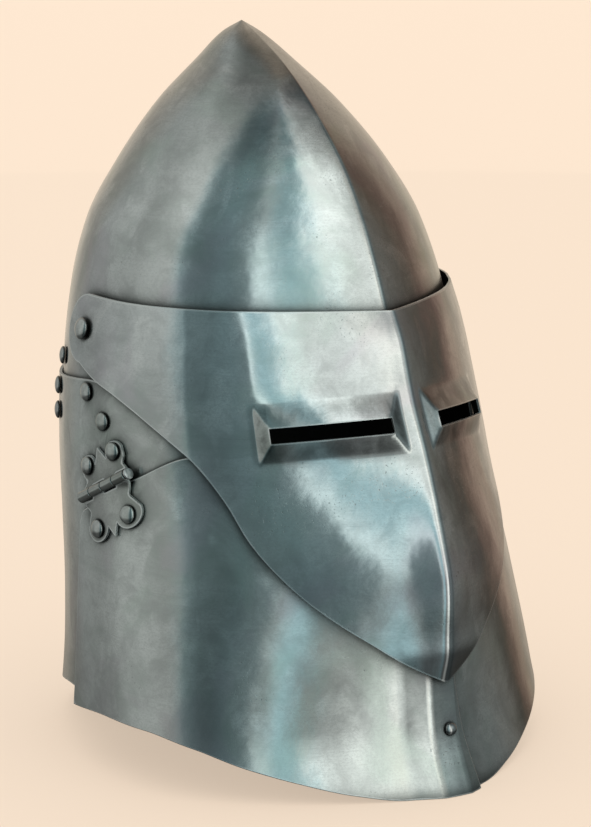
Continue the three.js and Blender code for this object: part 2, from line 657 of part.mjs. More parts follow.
// Keeps only the positions of a three.js geometry, with shared corners merged
function closed(geometry) {
  geometry.deleteAttribute('normal');
  geometry.deleteAttribute('uv');
  const merged = withoutSlivers(mergeVertices(geometry, MERGE));
  merged.computeVertexNormals();
  return merged;
}

function addDome(name, seat, radius, dome, room = SEAT) {
  const mesh = add(name, domeGeometry(radius, dome), FINISH.fitting);
  mesh.position.copy(seat.place).addScaledVector(seat.outward, room);
  mesh.quaternion.setFromUnitVectors(new THREE.Vector3(0, 1, 0), seat.outward);
  return mesh;
}

// Hinges
const hingeUp = new THREE.Vector2(-Math.sin(HINGE_SLOPE * RAD), Math.cos(HINGE_SLOPE * RAD));
const hingeAlong = new THREE.Vector2(Math.cos(HINGE_SLOPE * RAD), Math.sin(HINGE_SLOPE * RAD));
const UPPER_LEAF_LIFT = BACK_INNER + PLATE + SEAT;
const LOWER_LEAF_LIFT = CHEEK_INNER + PLATE + SEAT;
const PIN_LIFT = BACK_INNER + PLATE + GAP + KNUCKLE_RADIUS;
const LEAF_ROOT = KNUCKLE_RADIUS * 0.8; // where a leaf runs into its knuckles, away from the pin
const ROOT_DROP = LEAF_ROOT * 0.8; // how far below the pin's line a leaf's foot may run in
const KNUCKLE_SIDES = 12;
const PIN_SIDES = 8;
const HEAD_STRAIGHT = 0.6; // share of the pin head's length before it is chamfered
const HEAD_END = 0.7; // share of its radius that is left at the end

// A leaf's outline, as shares of its depth, but for the tooth's width
const LOBE_RADIUS = 0.32;
const LOBE_FLAT = 0.95; // how much of its own radius a lobe bulges
const NECK = 0.5;
const TOOTH_REACH = 1.02;
const TOOTH_FALL = 0.42; // from the tooth's point to its foot
const TOOTH_WIDTH = 0.5; // half its width, as a share of the way from the middle to a rivet
const RIVET_AWAY = 0.72; // pin to the rivets

// The hinge's own place on the side view: along the pin and away from it
function hingePlace(along, away) {
  return {
    depth: HINGE_DEPTH + hingeAlong.x * along + hingeUp.x * away,
    height: HINGE_HEIGHT + hingeAlong.y * along + hingeUp.y * away,
  };
}

function hingeVector(side, along, away, lift) {
  const { depth, height } = hingePlace(along, away);
  const section = bodySection(height);
  return new THREE.Vector3(...point(section, side, girthAt(section, depth), height, lift));
}

// The pin's straight line, laid along the plates where the hinge sits, with its outward and upward ways
function pinLine(side) {
  const end = HINGE_LENGTH / 2;
  const back = hingeVector(side, -end, 0, PIN_LIFT);
  const front = hingeVector(side, end, 0, PIN_LIFT);
  const middle = hingeVector(side, 0, 0, PIN_LIFT);
  const direction = front.clone().sub(back).normalize();
  const { outward } = seatOn(bodySection, side, HINGE_DEPTH, HINGE_HEIGHT, PIN_LIFT);
  const upward = outward.clone().cross(direction).normalize();
  if (upward.z < 0) upward.negate();
  outward.copy(direction).cross(upward).normalize();
  if (outward.x * side < 0) outward.negate();
  return { middle, direction, outward, upward };
}

// How far the leaf reaches from the pin: two round lobes with a pointed tooth between them
function leafReach(along, depth) {
  const lobe = LOBE_SPACING / 2;
  const radius = depth * LOBE_RADIUS;
  const away = Math.abs(Math.abs(along) - lobe);
  const round = away < radius ? depth - radius + Math.sqrt(radius ** 2 - away ** 2) * LOBE_FLAT : 0;
  const aside = Math.abs(along) / (lobe * TOOTH_WIDTH);
  const tooth = aside < 1 ? depth * (TOOTH_REACH - aside * TOOTH_FALL) : 0;
  return Math.max(round, tooth, depth * NECK);
}

const LEAF_ROWS = 3;
const WAIST_AT = 0.36; // share of the leaf's depth at which its sides are cut in furthest
const WAIST_SPAN = 0.28; // share of the depth over which they come back out, either way
const WAIST_CUT = 5; // how far they are cut in
// Stations along a leaf, as shares of the way from its middle to a rivet
const LEAF_STATIONS = mirrored([0, TOOTH_WIDTH / 2, TOOTH_WIDTH, 0.66, 1, 1.34, 1.56]);

function leafSheet(side, up, depth, lift) {
  const half = HINGE_LENGTH / 2;
  const line = pinLine(side);
  const root = Math.max(lift + SEAT - PIN_LIFT, -ROOT_DROP);
  const stations = [-half, ...LEAF_STATIONS.map((share) => share * LOBE_SPACING / 2), half];
  const sheet = (extra) => stations.map((along) => {
    const reach = leafReach(along, depth);
    return steps(LEAF_ROWS, (s) => {
      if (s === 0) {
        return line.middle.clone().addScaledVector(line.direction, along)
          .addScaledVector(line.upward, up * LEAF_ROOT)
          .addScaledVector(line.outward, root + extra).toArray();
      }
      const away = LEAF_ROOT + (reach - LEAF_ROOT) * s;
      const widest = half - WAIST_CUT * Math.max(1 - Math.abs(away / depth - WAIST_AT) / WAIST_SPAN, 0);
      const aside = Math.min(Math.max(along, -widest), widest);
      return hingeVector(side, aside, up * away, lift + extra).toArray();
    });
  });
  const outer = sheet(LEAF_PLATE);
  const inner = sheet(0);
  return up * side > 0 ? plateGeometry(inner, outer) : plateGeometry(outer, inner);
}

function alongPin(geometry, line, offset) {
  geometry.rotateX(Math.PI / 2);
  const turn = new THREE.Quaternion().setFromUnitVectors(new THREE.Vector3(0, 0, 1), line.direction);
  geometry.applyQuaternion(turn);
  const place = line.middle.clone().addScaledVector(line.direction, offset);
  return closed(geometry.translate(place.x, place.y, place.z));
}

function toManifold(geometry) {
  const mesh = new wasm.Mesh({
    numProp: 3,
    vertProperties: new Float32Array(geometry.attributes.position.array),
    triVerts: new Uint32Array(geometry.index.array),
  });
  mesh.merge();
  return new wasm.Manifold(mesh);
}

function fromManifold(solid) {
  const mesh = solid.getMesh();
  const geometry = new THREE.BufferGeometry();
  geometry.setAttribute('position', new THREE.Float32BufferAttribute(mesh.vertProperties, 3));
  geometry.setIndex(Array.from(mesh.triVerts));
  return closed(geometry);
}

const rod = (radius, length, sides) => new THREE.CylinderGeometry(radius, radius, length, sides);

function makeLeaf(name, side, up, depth, lift) {
  const line = pinLine(side);
  const length = HINGE_LENGTH / KNUCKLES;
  const first = up > 0 ? 0 : 1;
  let leaf = toManifold(leafSheet(side, up, depth, lift));
  for (let i = 0; i < KNUCKLES; i += 1) {
    const offset = -HINGE_LENGTH / 2 + length * (i + 0.5);
    const barrel = rod(KNUCKLE_RADIUS, length - GAP, KNUCKLE_SIDES);
    const room = rod(KNUCKLE_RADIUS + GAP, length + GAP, KNUCKLE_SIDES);
    if (i % 2 === first) leaf = leaf.add(toManifold(alongPin(barrel, line, offset)));
    else leaf = leaf.subtract(toManifold(alongPin(room, line, offset)));
  }
  const bore = rod(PIN_RADIUS + PIN_CLEARANCE, HINGE_LENGTH + KNUCKLE_RADIUS * 2, PIN_SIDES);
  leaf = leaf.subtract(toManifold(alongPin(bore, line, 0)));
  return add(name, fromManifold(leaf), FINISH.fitting);
}

function makePin(name, side) {
  const line = pinLine(side);
  const half = HINGE_LENGTH / 2;
  const head = half + GAP;
  const profile = [
    [0, -half], [PIN_RADIUS, -half], [PIN_RADIUS, head], [PIN_HEAD_RADIUS, head],
    [PIN_HEAD_RADIUS, head + PIN_HEAD_LENGTH * HEAD_STRAIGHT],
    [PIN_HEAD_RADIUS * HEAD_END, head + PIN_HEAD_LENGTH], [0, head + PIN_HEAD_LENGTH],
  ];
  return add(name, alongPin(lathe(profile, PIN_SIDES), line, 0), FINISH.fitting);
}

function makeHinge(label, side) {
  makeLeaf(`hinge_upper_leaf_${label}`, side, 1, UPPER_LEAF_DEPTH, UPPER_LEAF_LIFT);
  makeLeaf(`hinge_lower_leaf_${label}`, side, -1, LOWER_LEAF_DEPTH, LOWER_LEAF_LIFT);
  makePin(`hinge_pin_${label}`, side);
  const leaves = [
    { leaf: 'upper', up: 1, depth: UPPER_LEAF_DEPTH, lift: UPPER_LEAF_LIFT },
    { leaf: 'lower', up: -1, depth: LOWER_LEAF_DEPTH, lift: LOWER_LEAF_LIFT },
  ];
  for (const { leaf, up, depth, lift } of leaves) {
    for (const [end, along] of [['back', -LOBE_SPACING / 2], ['front', LOBE_SPACING / 2]]) {
      const place = hingePlace(along, up * depth * RIVET_AWAY);
      const seat = seatOn(bodySection, side, place.depth, place.height, lift + LEAF_PLATE);
      addDome(`hinge_rivet_${leaf}_${end}_${label}`, seat, RIVET_RADIUS, RIVET_DOME);
    }
  }
}

makeSkull();
makeBackPlate();
const [, keelLeft, keelRight] = makeCheek('cheek_plate_right', -1);
makeCheek('cheek_plate_left', 1);
makeVisor();

for (const [label, side] of [['right', -1], ['left', 1]]) {
  makeHinge(label, side);
  const armSeat = seatOn(visorSection, side, PIVOT_DEPTH, PIVOT_HEIGHT, visorInner(PIVOT_HEIGHT) + PLATE);
  addDome(`visor_pivot_${label}`, armSeat, PIVOT_HEAD_RADIUS, PIVOT_HEAD_DOME, PIVOT_SEAT);
  for (const rivet of SIDE_RIVETS) {
    const lift = rivet.on === 'skull' ? 0 : BACK_INNER + PLATE;
    const height = HINGE_HEIGHT + (SEAM_HEIGHT - HINGE_HEIGHT) * rivet.rise;
    const seat = seatOn(bodySection, side, -BACK_LENGTH * rivet.behind, height, lift);
    addDome(`rivet_${rivet.name}_${label}`, seat, RIVET_RADIUS, RIVET_DOME);
  }
}

// The stud that closes the lap sits on the blunt keel of the right cheek plate
function onColumn(column, height) {
  const row = column.findIndex((place) => place[2] > height);
  const [below, above] = [column[row - 1], column[row]].map((place) => new THREE.Vector3(...place));
  return below.lerp(above, (height - below.z) / (above.z - below.z));
}

const studRight = onColumn(keelRight, STUD_HEIGHT);
const studLeft = onColumn(keelLeft, STUD_HEIGHT);
const studBelow = onColumn(keelRight, STUD_HEIGHT - STUD_RADIUS);
const studAcross = studLeft.clone().sub(studRight);
const studPlace = studRight.clone().addScaledVector(studAcross, STUD_SHARE);
addDome('closure_stud', {
  place: studPlace,
  outward: studBelow.sub(studRight).cross(studAcross).normalize(),
}, STUD_RADIUS, STUD_DOME, SEAT * 2);

export default group;
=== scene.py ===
import math
import bmesh
import bpy
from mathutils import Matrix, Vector
from mathutils.kdtree import KDTree


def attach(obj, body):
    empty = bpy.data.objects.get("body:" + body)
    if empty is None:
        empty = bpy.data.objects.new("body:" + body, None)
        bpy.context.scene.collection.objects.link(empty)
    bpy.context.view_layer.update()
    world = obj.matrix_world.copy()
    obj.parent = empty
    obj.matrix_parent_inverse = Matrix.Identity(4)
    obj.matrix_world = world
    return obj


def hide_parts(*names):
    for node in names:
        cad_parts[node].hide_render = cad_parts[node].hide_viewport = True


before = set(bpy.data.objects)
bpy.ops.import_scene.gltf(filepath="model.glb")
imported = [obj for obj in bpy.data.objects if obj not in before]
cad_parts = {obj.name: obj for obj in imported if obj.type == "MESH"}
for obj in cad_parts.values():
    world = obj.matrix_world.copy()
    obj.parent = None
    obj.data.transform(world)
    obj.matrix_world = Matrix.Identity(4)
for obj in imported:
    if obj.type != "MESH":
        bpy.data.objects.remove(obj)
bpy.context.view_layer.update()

scene = bpy.context.scene
MM = 0.001

# Sizes in millimetres, slopes in degrees, and shares, as the solids have them. Depth counts from
# the middle of the head towards the face, and height from the floor. lift is the way out from the
# skull's face. girth runs from 0 at the front ridge over 1 at the widest place to 2 at the back.
HELM_HEIGHT, HALF_WIDTH, FRONT_LENGTH, BACK_LENGTH = 372, 106, 120, 112
RIM_RISE, RIDGE_POWER, RIDGE_EASE = 30, 2.3, 0.95
PLATE, GAP, VISOR_ROOM, LAP_ROOM, LAP_WIDTH, LAP_COVER = 1.6, 0.4, 0.5, 0.6, 15, 2
SEAM_HEIGHT, SEAM_FALL, SEAM_LAP, THROAT_LAP = 195, 6.5, 14, 14
BROW_HEIGHT, CHEEK_FRONT, CHEEK_BACK, CHEEK_CORNER = 222, 65, -9, 130
PIVOT_DEPTH, PIVOT_HEIGHT, ARM_RADIUS, VISOR_TOP, VISOR_TIP = -17, 220, 17.5, 236, 56
BEAK_STAND, SIGHT_HEIGHT, SIGHT_DROP = 8.1, 183, 5
SIGHT_SLOT, SIGHT_RISE, SIGHT_BOX = 7.2, 5, 11.5
RIVET_RADIUS, RIVET_DOME, PIVOT_HEAD_RADIUS, PIVOT_HEAD_DOME = 4.7, 2.5, 5.6, 3.2
STUD_RADIUS, STUD_DOME, STUD_HEIGHT, STUD_SHARE = 3.2, 2.6, 31, 0.69
SEAT, PIVOT_SEAT = 0.3, 0.9
HINGE_DEPTH, HINGE_HEIGHT, HINGE_SLOPE, HINGE_LENGTH, LEAF_PLATE = 13, 144.5, 29, 39, 1.4
UPPER_LEAF_DEPTH, LOWER_LEAF_DEPTH, LOBE_SPACING, RIVET_AWAY = 20, 26, 22.6, 0.72
KNUCKLE_RADIUS, PIN_RADIUS, PIN_HEAD_RADIUS, PIN_HEAD_LENGTH, KNUCKLES = 3, 1.4, 2.9, 1.6, 4

BACK_INNER = GAP
CHEEK_INNER = BACK_INNER + PLATE + GAP
LAP_LIFT = PLATE + GAP + LAP_ROOM
VISOR_INNER_TOP = BACK_INNER + PLATE + GAP + VISOR_ROOM
VISOR_INNER_LOW = CHEEK_INNER + PLATE + GAP

# The skull's sections. After the share of the height come the half width, the lengths ahead of the
# middle and behind it, the middle's own depth, and the ridge's power, as shares of their sizes.
SECTIONS = [
    (0, 1.16, 1.063, 1.348, 0.25, 1.3),
    (0.094, 1.13, 0.98, 1.262, 0.22, 1.24),
    (0.202, 1.095, 1.02, 1.152, 0.142, 1.16),
    (0.309, 1.06, 1.1, 1.063, 0.042, 1.06),
    (0.417, 1.028, 1.0875, 1.009, -0.042, 1),
    (0.524, 1, 1, 1, -0.067, 1),
    (0.632, 0.929, 0.921, 0.964, -0.1, 1),
    (0.726, 0.83, 0.817, 0.866, -0.125, 1),
    (0.806, 0.66, 0.683, 0.723, -0.142, 1),
    (0.887, 0.434, 0.479, 0.518, -0.175, 1),
    (0.946, 0.217, 0.271, 0.313, -0.2, 1),
    (0.984, 0.085, 0.092, 0.134, -0.233, 1),
    (1, 0, 0, 0, -0.25, 1),
]
# how far the visor's keel stands out, by the share of the visor's height
KEEL = [(0, 0.29), (0.1, 0.9), (0.19, 0.95), (0.33, 0.86), (0.48, 0.84), (0.61, 0.56), (0.8, 0.41),
        (0.906, 0.4), (1, 0.1)]
# the height of the visor's lower edge, by the share of its reach ahead of the pivots
VISOR_EDGE = [(0, 1), (0.03, 0.985), (0.09, 0.957), (0.18, 0.925), (0.26, 0.885), (0.36, 0.82),
              (0.46, 0.735), (0.56, 0.61), (0.64, 0.487), (0.75, 0.345), (0.845, 0.223),
              (0.925, 0.11), (0.98, 0)]
# the rim's rise at the cheek plates and at the back plate, by the share of the way from the back
RIM = [(0, 0, 0), (0.02, 0, 0), (0.12, 0.2, 0.3), (0.24, 0.58, 0.8), (0.4, 0.8, 1.07),
       (0.54, 0.96, 1.07), (0.65, 0.98, 1.07), (0.74, 0.83, 1.07), (0.81, 0.58, 1.07),
       (0.87, 0.35, 1.07), (0.93, 0.11, 1.07), (0.97, 0, 1.07), (1, 0, 1.07)]
# the rise of the cheek plates' upper edge over its back corner, by the way ahead of that corner
CHEEK_EDGE = [(0, -0.04), (0.03, -0.014), (0.1, 0), (0.65, 0.113), (1.06, 0.18), (1.4, 0.17),
              (1.9, 0.06), (2.2, -0.02)]
# name, share of BACK_LENGTH behind the middle, share of the way from the hinge up to the seam, and
# 1 where the rivet sits on the back plate
SIDE_RIVETS = [("seam", 0.51, 1.08, 0), ("nape_upper", 0.5, 0.77, 1), ("nape_lower", 0.5, 0.51, 1),
               ("temple_upper", 0.098, 0.87, 1), ("temple_lower", -0.045, 0.62, 1)]


def smooth_table(rows, column=1):
    x = [row[0] for row in rows]
    y = [row[column] for row in rows]
    n = len(x)
    slope = [(y[i + 1] - y[i]) / (x[i + 1] - x[i]) for i in range(n - 1)]
    tangent = [slope[0]]
    tangent += [0 if a * b <= 0 else 2 * a * b / (a + b) for a, b in zip(slope, slope[1:])]
    tangent.append(slope[-1])

    def at(value):
        value = min(max(value, x[0]), x[-1])
        i = 0
        while i < n - 2 and value > x[i + 1]:
            i += 1
        h = x[i + 1] - x[i]
        t = (value - x[i]) / h
        bend = (t - 1) ** 2 * t * h * tangent[i] + (t - 1) * t * t * h * tangent[i + 1]
        return y[i] + (y[i + 1] - y[i]) * t * t * (3 - 2 * t) + bend
    return at


half_share, nose_share, back_share, mid_share, full_share = (
    smooth_table(SECTIONS, column) for column in range(1, 6))
stand_share = smooth_table(KEEL)
visor_edge_share = smooth_table(VISOR_EDGE)
cheek_rim_share, nape_rim_share = smooth_table(RIM, 1), smooth_table(RIM, 2)
cheek_edge_share = smooth_table(CHEEK_EDGE)


def clamp(value, low=0.0, high=1.0):
    return min(max(value, low), high)


class Section:
    def __init__(self, height):
        up = clamp(height / HELM_HEIGHT)
        self.mid = FRONT_LENGTH * mid_share(up)
        self.power = RIDGE_POWER * full_share(up)
        self.half = HALF_WIDTH * half_share(up)
        self.nose = self.mid + FRONT_LENGTH * nose_share(up)
        self.back = self.mid - BACK_LENGTH * back_share(up)
        slope = math.atan(self.power * HALF_WIDTH / FRONT_LENGTH)
        self.ridge_lift = 1 / math.sin(slope * RIDGE_EASE)


def visor_inner(height):
    share = clamp((height - CHEEK_CORNER) / (SEAM_HEIGHT - CHEEK_CORNER))
    return VISOR_INNER_LOW + (VISOR_INNER_TOP - VISOR_INNER_LOW) * share


def visor_section(height):
    section = Section(height)
    up = clamp((height - VISOR_TIP) / (VISOR_TOP - VISOR_TIP))
    wall = (visor_inner(height) + PLATE) * section.ridge_lift
    section.nose += wall + BEAK_STAND * stand_share(up)
    return section


RIDGE_ROUND = 0.004  # girth over which the ridge is rounded off
SWING_ROOM = 0.2  # off the skull's outside, and twice off the visor's inside, for the swing


def on_section(section, girth, lift, nose_lift, soft=0.0):
    half, nose, back = section.half + lift, section.nose + nose_lift, section.back - lift
    reach = abs(girth)
    sign = 1 if girth >= 0 else -1
    if reach <= 1:
        width = half * (1 - (1 - reach) ** section.power)
        blunt = math.sqrt(reach * reach + soft * soft) if soft else reach
        return sign * width, section.mid + (nose - section.mid) * (1 - min(blunt, 1))
    angle = (reach - 1) * math.pi / 2
    return sign * half * math.cos(angle), section.mid - (section.mid - back) * math.sin(angle)


def girth_at(section, depth):
    if depth >= section.mid:
        return 1 - (depth - section.mid) / (section.nose - section.mid)
    return 1 + math.asin(min((section.mid - depth) / (section.mid - section.back), 1)) * 2 / math.pi


LAP_BLUNT, LAP_STEP, LAP_RISE, LAP_NARROWS, LAP_LEAST = 0.02, 0.12, 0.06, 1.1, 0.53
rim_section = Section(0)
RIM_FRONT, RIM_BACK = rim_section.nose, rim_section.back
lap_outer = CHEEK_INNER + PLATE + LAP_LIFT
lap_front = on_section(rim_section, LAP_BLUNT, lap_outer, lap_outer * rim_section.ridge_lift)[1]
FRAME_SHIFT = (lap_front + RIM_BACK - BACK_INNER - PLATE) / 2


def rim_along(depth):
    return (depth - RIM_BACK) / (RIM_FRONT - RIM_BACK)


def point(section, side, girth, height, lift, soft=0.0):
    width, depth = on_section(section, girth, lift, lift * section.ridge_lift, soft)
    return Vector((side * width, FRAME_SHIFT - depth, height))


EDGE_PASSES, EDGE_STEP = 30, 0.6


def height_on_edge(edge, depth_at, guess):
    height = guess
    for _ in range(EDGE_PASSES):
        height += EDGE_STEP * (edge(depth_at(height)) - height)
    return height


def steps(count):
    return [i / count for i in range(count + 1)]


def between(low, high, count):
    return [low + (high - low) * t for t in steps(count)]


def mirrored(values):
    return [-value for value in reversed(values[1:])] + values


# meshes
OUTSIDE_FACE, INSIDE_FACE, EDGE_FACE = 0, 1, 2  # also the places of their materials
EDGE_SAMPLE, WELD, SLIVER = 0.5, 2e-6, 1e-7  # the first in millimetres, the others in metres
# how much darker the plates are round the rivets and hinges, and how that fades, in millimetres
SPOT_DARKENING, SPOT_FADE = 0.6, 3
# the painted shadow under the visor's edges: its strength, its full width and its fade, in
# millimetres
LINE_SHADOW, LINE_CORE, LINE_FADE = 0.5, 2.5, 2.5


def tree_of(places):
    tree = KDTree(len(places))
    for number, place in enumerate(places):
        tree.insert(place, number)
    tree.balance()
    return tree


def note_edge_distance(mesh, verts, faces, marks):
    # keeps each corner's distance from the plate's nearest outer edge, in millimetres
    sides = {}
    for face, mark in zip(faces, marks):
        for pair in zip(face, face[1:] + face[:1]):
            sides.setdefault(tuple(sorted(pair)), set()).add(mark)
    rims = [(verts[a], verts[b]) for (a, b), found in sides.items()
            if {OUTSIDE_FACE, EDGE_FACE} <= found]
    tree = tree_of([a.lerp(b, t) for a, b in rims
                    for t in steps(max(int((b - a).length / EDGE_SAMPLE), 1))])
    layer = mesh.attributes.new("edge_away", "FLOAT", "POINT")
    for item, place in zip(layer.data, verts):
        item.value = tree.find(place)[2]


def darkening_and_edge_shadow(place, under_visor):
    # darker round the rivets and the hinges and, on what lies under the visor, painted shadow along
    # its edges
    value = SPOT_DARKENING * math.exp(-max(SPOTS.find(place)[2] - RIVET_RADIUS, 0) / SPOT_FADE)
    if under_visor:
        fade = math.exp(-max(VISOR_LINE.find(place)[2] - LINE_CORE, 0) / LINE_FADE)
        value = max(value, LINE_SHADOW * fade)
    return value


def new_object(name, verts, faces, body, material, replaces, slot, sharp=34, marks=(), painted_shades=()):
    mesh = bpy.data.meshes.new(name)
    mesh.from_pydata([tuple(v * MM) for v in verts], [], faces)
    for number, mark in enumerate(marks):
        mesh.polygons[number].material_index = mark
    if marks:
        note_edge_distance(mesh, verts, faces, marks)
        # darker round the rivets and hinges, painted shadow under the visor's edges, and painted
        # shade on the visor's folds
        layer = mesh.attributes.new("darkening_and_shade", "FLOAT", "POINT")
        for number, (item, place) in enumerate(zip(layer.data, verts)):
            value = 0 if slot == "hinges" else darkening_and_edge_shadow(place, slot != "visor")
            # the painted shade on the visor's folds joins in
            item.value = max(value, painted_shades[number]) if painted_shades else value
    bm = bmesh.new()
    bm.from_mesh(mesh)
    bmesh.ops.remove_doubles(bm, verts=bm.verts, dist=WELD)
    bmesh.ops.dissolve_degenerate(bm, edges=bm.edges, dist=SLIVER)
    bmesh.ops.recalc_face_normals(bm, faces=bm.faces)
    limit = math.radians(sharp)
    for face in bm.faces:
        face.smooth = True
    for edge in bm.edges:
        edge.smooth = len(edge.link_faces) == 2 and edge.calc_face_angle(0) < limit
    bm.to_mesh(mesh)
    bm.free()
    obj = bpy.data.objects.new(name, mesh)
    scene.collection.objects.link(obj)
    obj.data.materials.append(material)
    if marks:
        obj.data.materials.append(INSIDE)
        obj.data.materials.append(WORN_HIGHLIGHT_EDGE)
    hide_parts(*replaces)
    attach(obj, body)
    return obj


def plate_faces(outer, inner, open_cell=None, loop=False):
    columns, rows = len(outer) - 1, len(outer[0]) - 1
    verts, faces, marks = [], [], []
    base = {}
    for which, grid in (("o", outer), ("i", inner)):
        for c, column in enumerate(grid):
            for r, place in enumerate(column):
                base[which, c, r] = len(verts)
                verts.append(place)

    def solid(c, r):
        inside = 0 <= r < rows and (loop or 0 <= c < columns)
        return inside and not (open_cell and open_cell(c, r))

    for c in range(columns):
        for r in range(rows):
            if not solid(c, r):
                continue
            o = [base["o", c, r], base["o", c + 1, r], base["o", c + 1, r + 1], base["o", c, r + 1]]
            i = [base["i", c, r], base["i", c + 1, r], base["i", c + 1, r + 1], base["i", c, r + 1]]
            faces += [o, [i[0], i[3], i[2], i[1]]]
            marks += [OUTSIDE_FACE, INSIDE_FACE]
            if not solid(c - 1, r):
                faces.append([o[0], o[3], i[3], i[0]])
            if not solid(c + 1, r):
                faces.append([o[2], o[1], i[1], i[2]])
            if not solid(c, r - 1):
                faces.append([o[1], o[0], i[0], i[1]])
            if not solid(c, r + 1):
                faces.append([o[3], o[2], i[2], i[3]])
            marks += [EDGE_FACE] * (len(faces) - len(marks))
    return verts, faces, marks


def edge_bevel(obj, width=0.5, angle=50):
    bevel = obj.modifiers.new("soft_edges", "BEVEL")
    bevel.width = width * MM
    bevel.segments = 2
    bevel.limit_method = "ANGLE"
    bevel.angle_limit = math.radians(angle)
    bevel.material = EDGE_FACE
    return obj


# materials
# the bare steel, and the lighter steel of the worn edges, which is partly a painted highlight
BARE_STEEL, WORN_AND_HIGHLIGHT_STEEL = (0.80, 0.815, 0.81), (0.95, 0.96, 0.96)
# the colours of the painted shade and grime in corners, and of the darkening round rivets and
# hinges with its painted shadow and shade
CORNER_SHADE_AND_GRIME, DARKENING_AND_SHADE_COLOR = (0.045, 0.046, 0.043), (0.13, 0.14, 0.135)
CORNER_REACH, CORNER_SAMPLES = 0.013, 8
MIX_A, MIX_B, MIX_RESULT = 6, 7, 2  # a Mix node's sockets for colours
# The visor's right face is a little twisted in the shading alone. The turn goes one way above the
# sight and the other way below it. These are the heights and the widths, in metres, over which it
# sets in, its share below the sight, and its growth there towards the keel.
TWIST_ABOVE, TWIST_ABOVE_SIDE = (0.172, 0.204), (-0.069, -0.062)
TWIST_BELOW, TWIST_BELOW_SIDE = (0.104, 0.168), (-0.024, -0.008)
TWIST_KEEL, TWIST_BACK, TWIST_GROWTH = (-0.005, 0.0), -1.6, 1.8


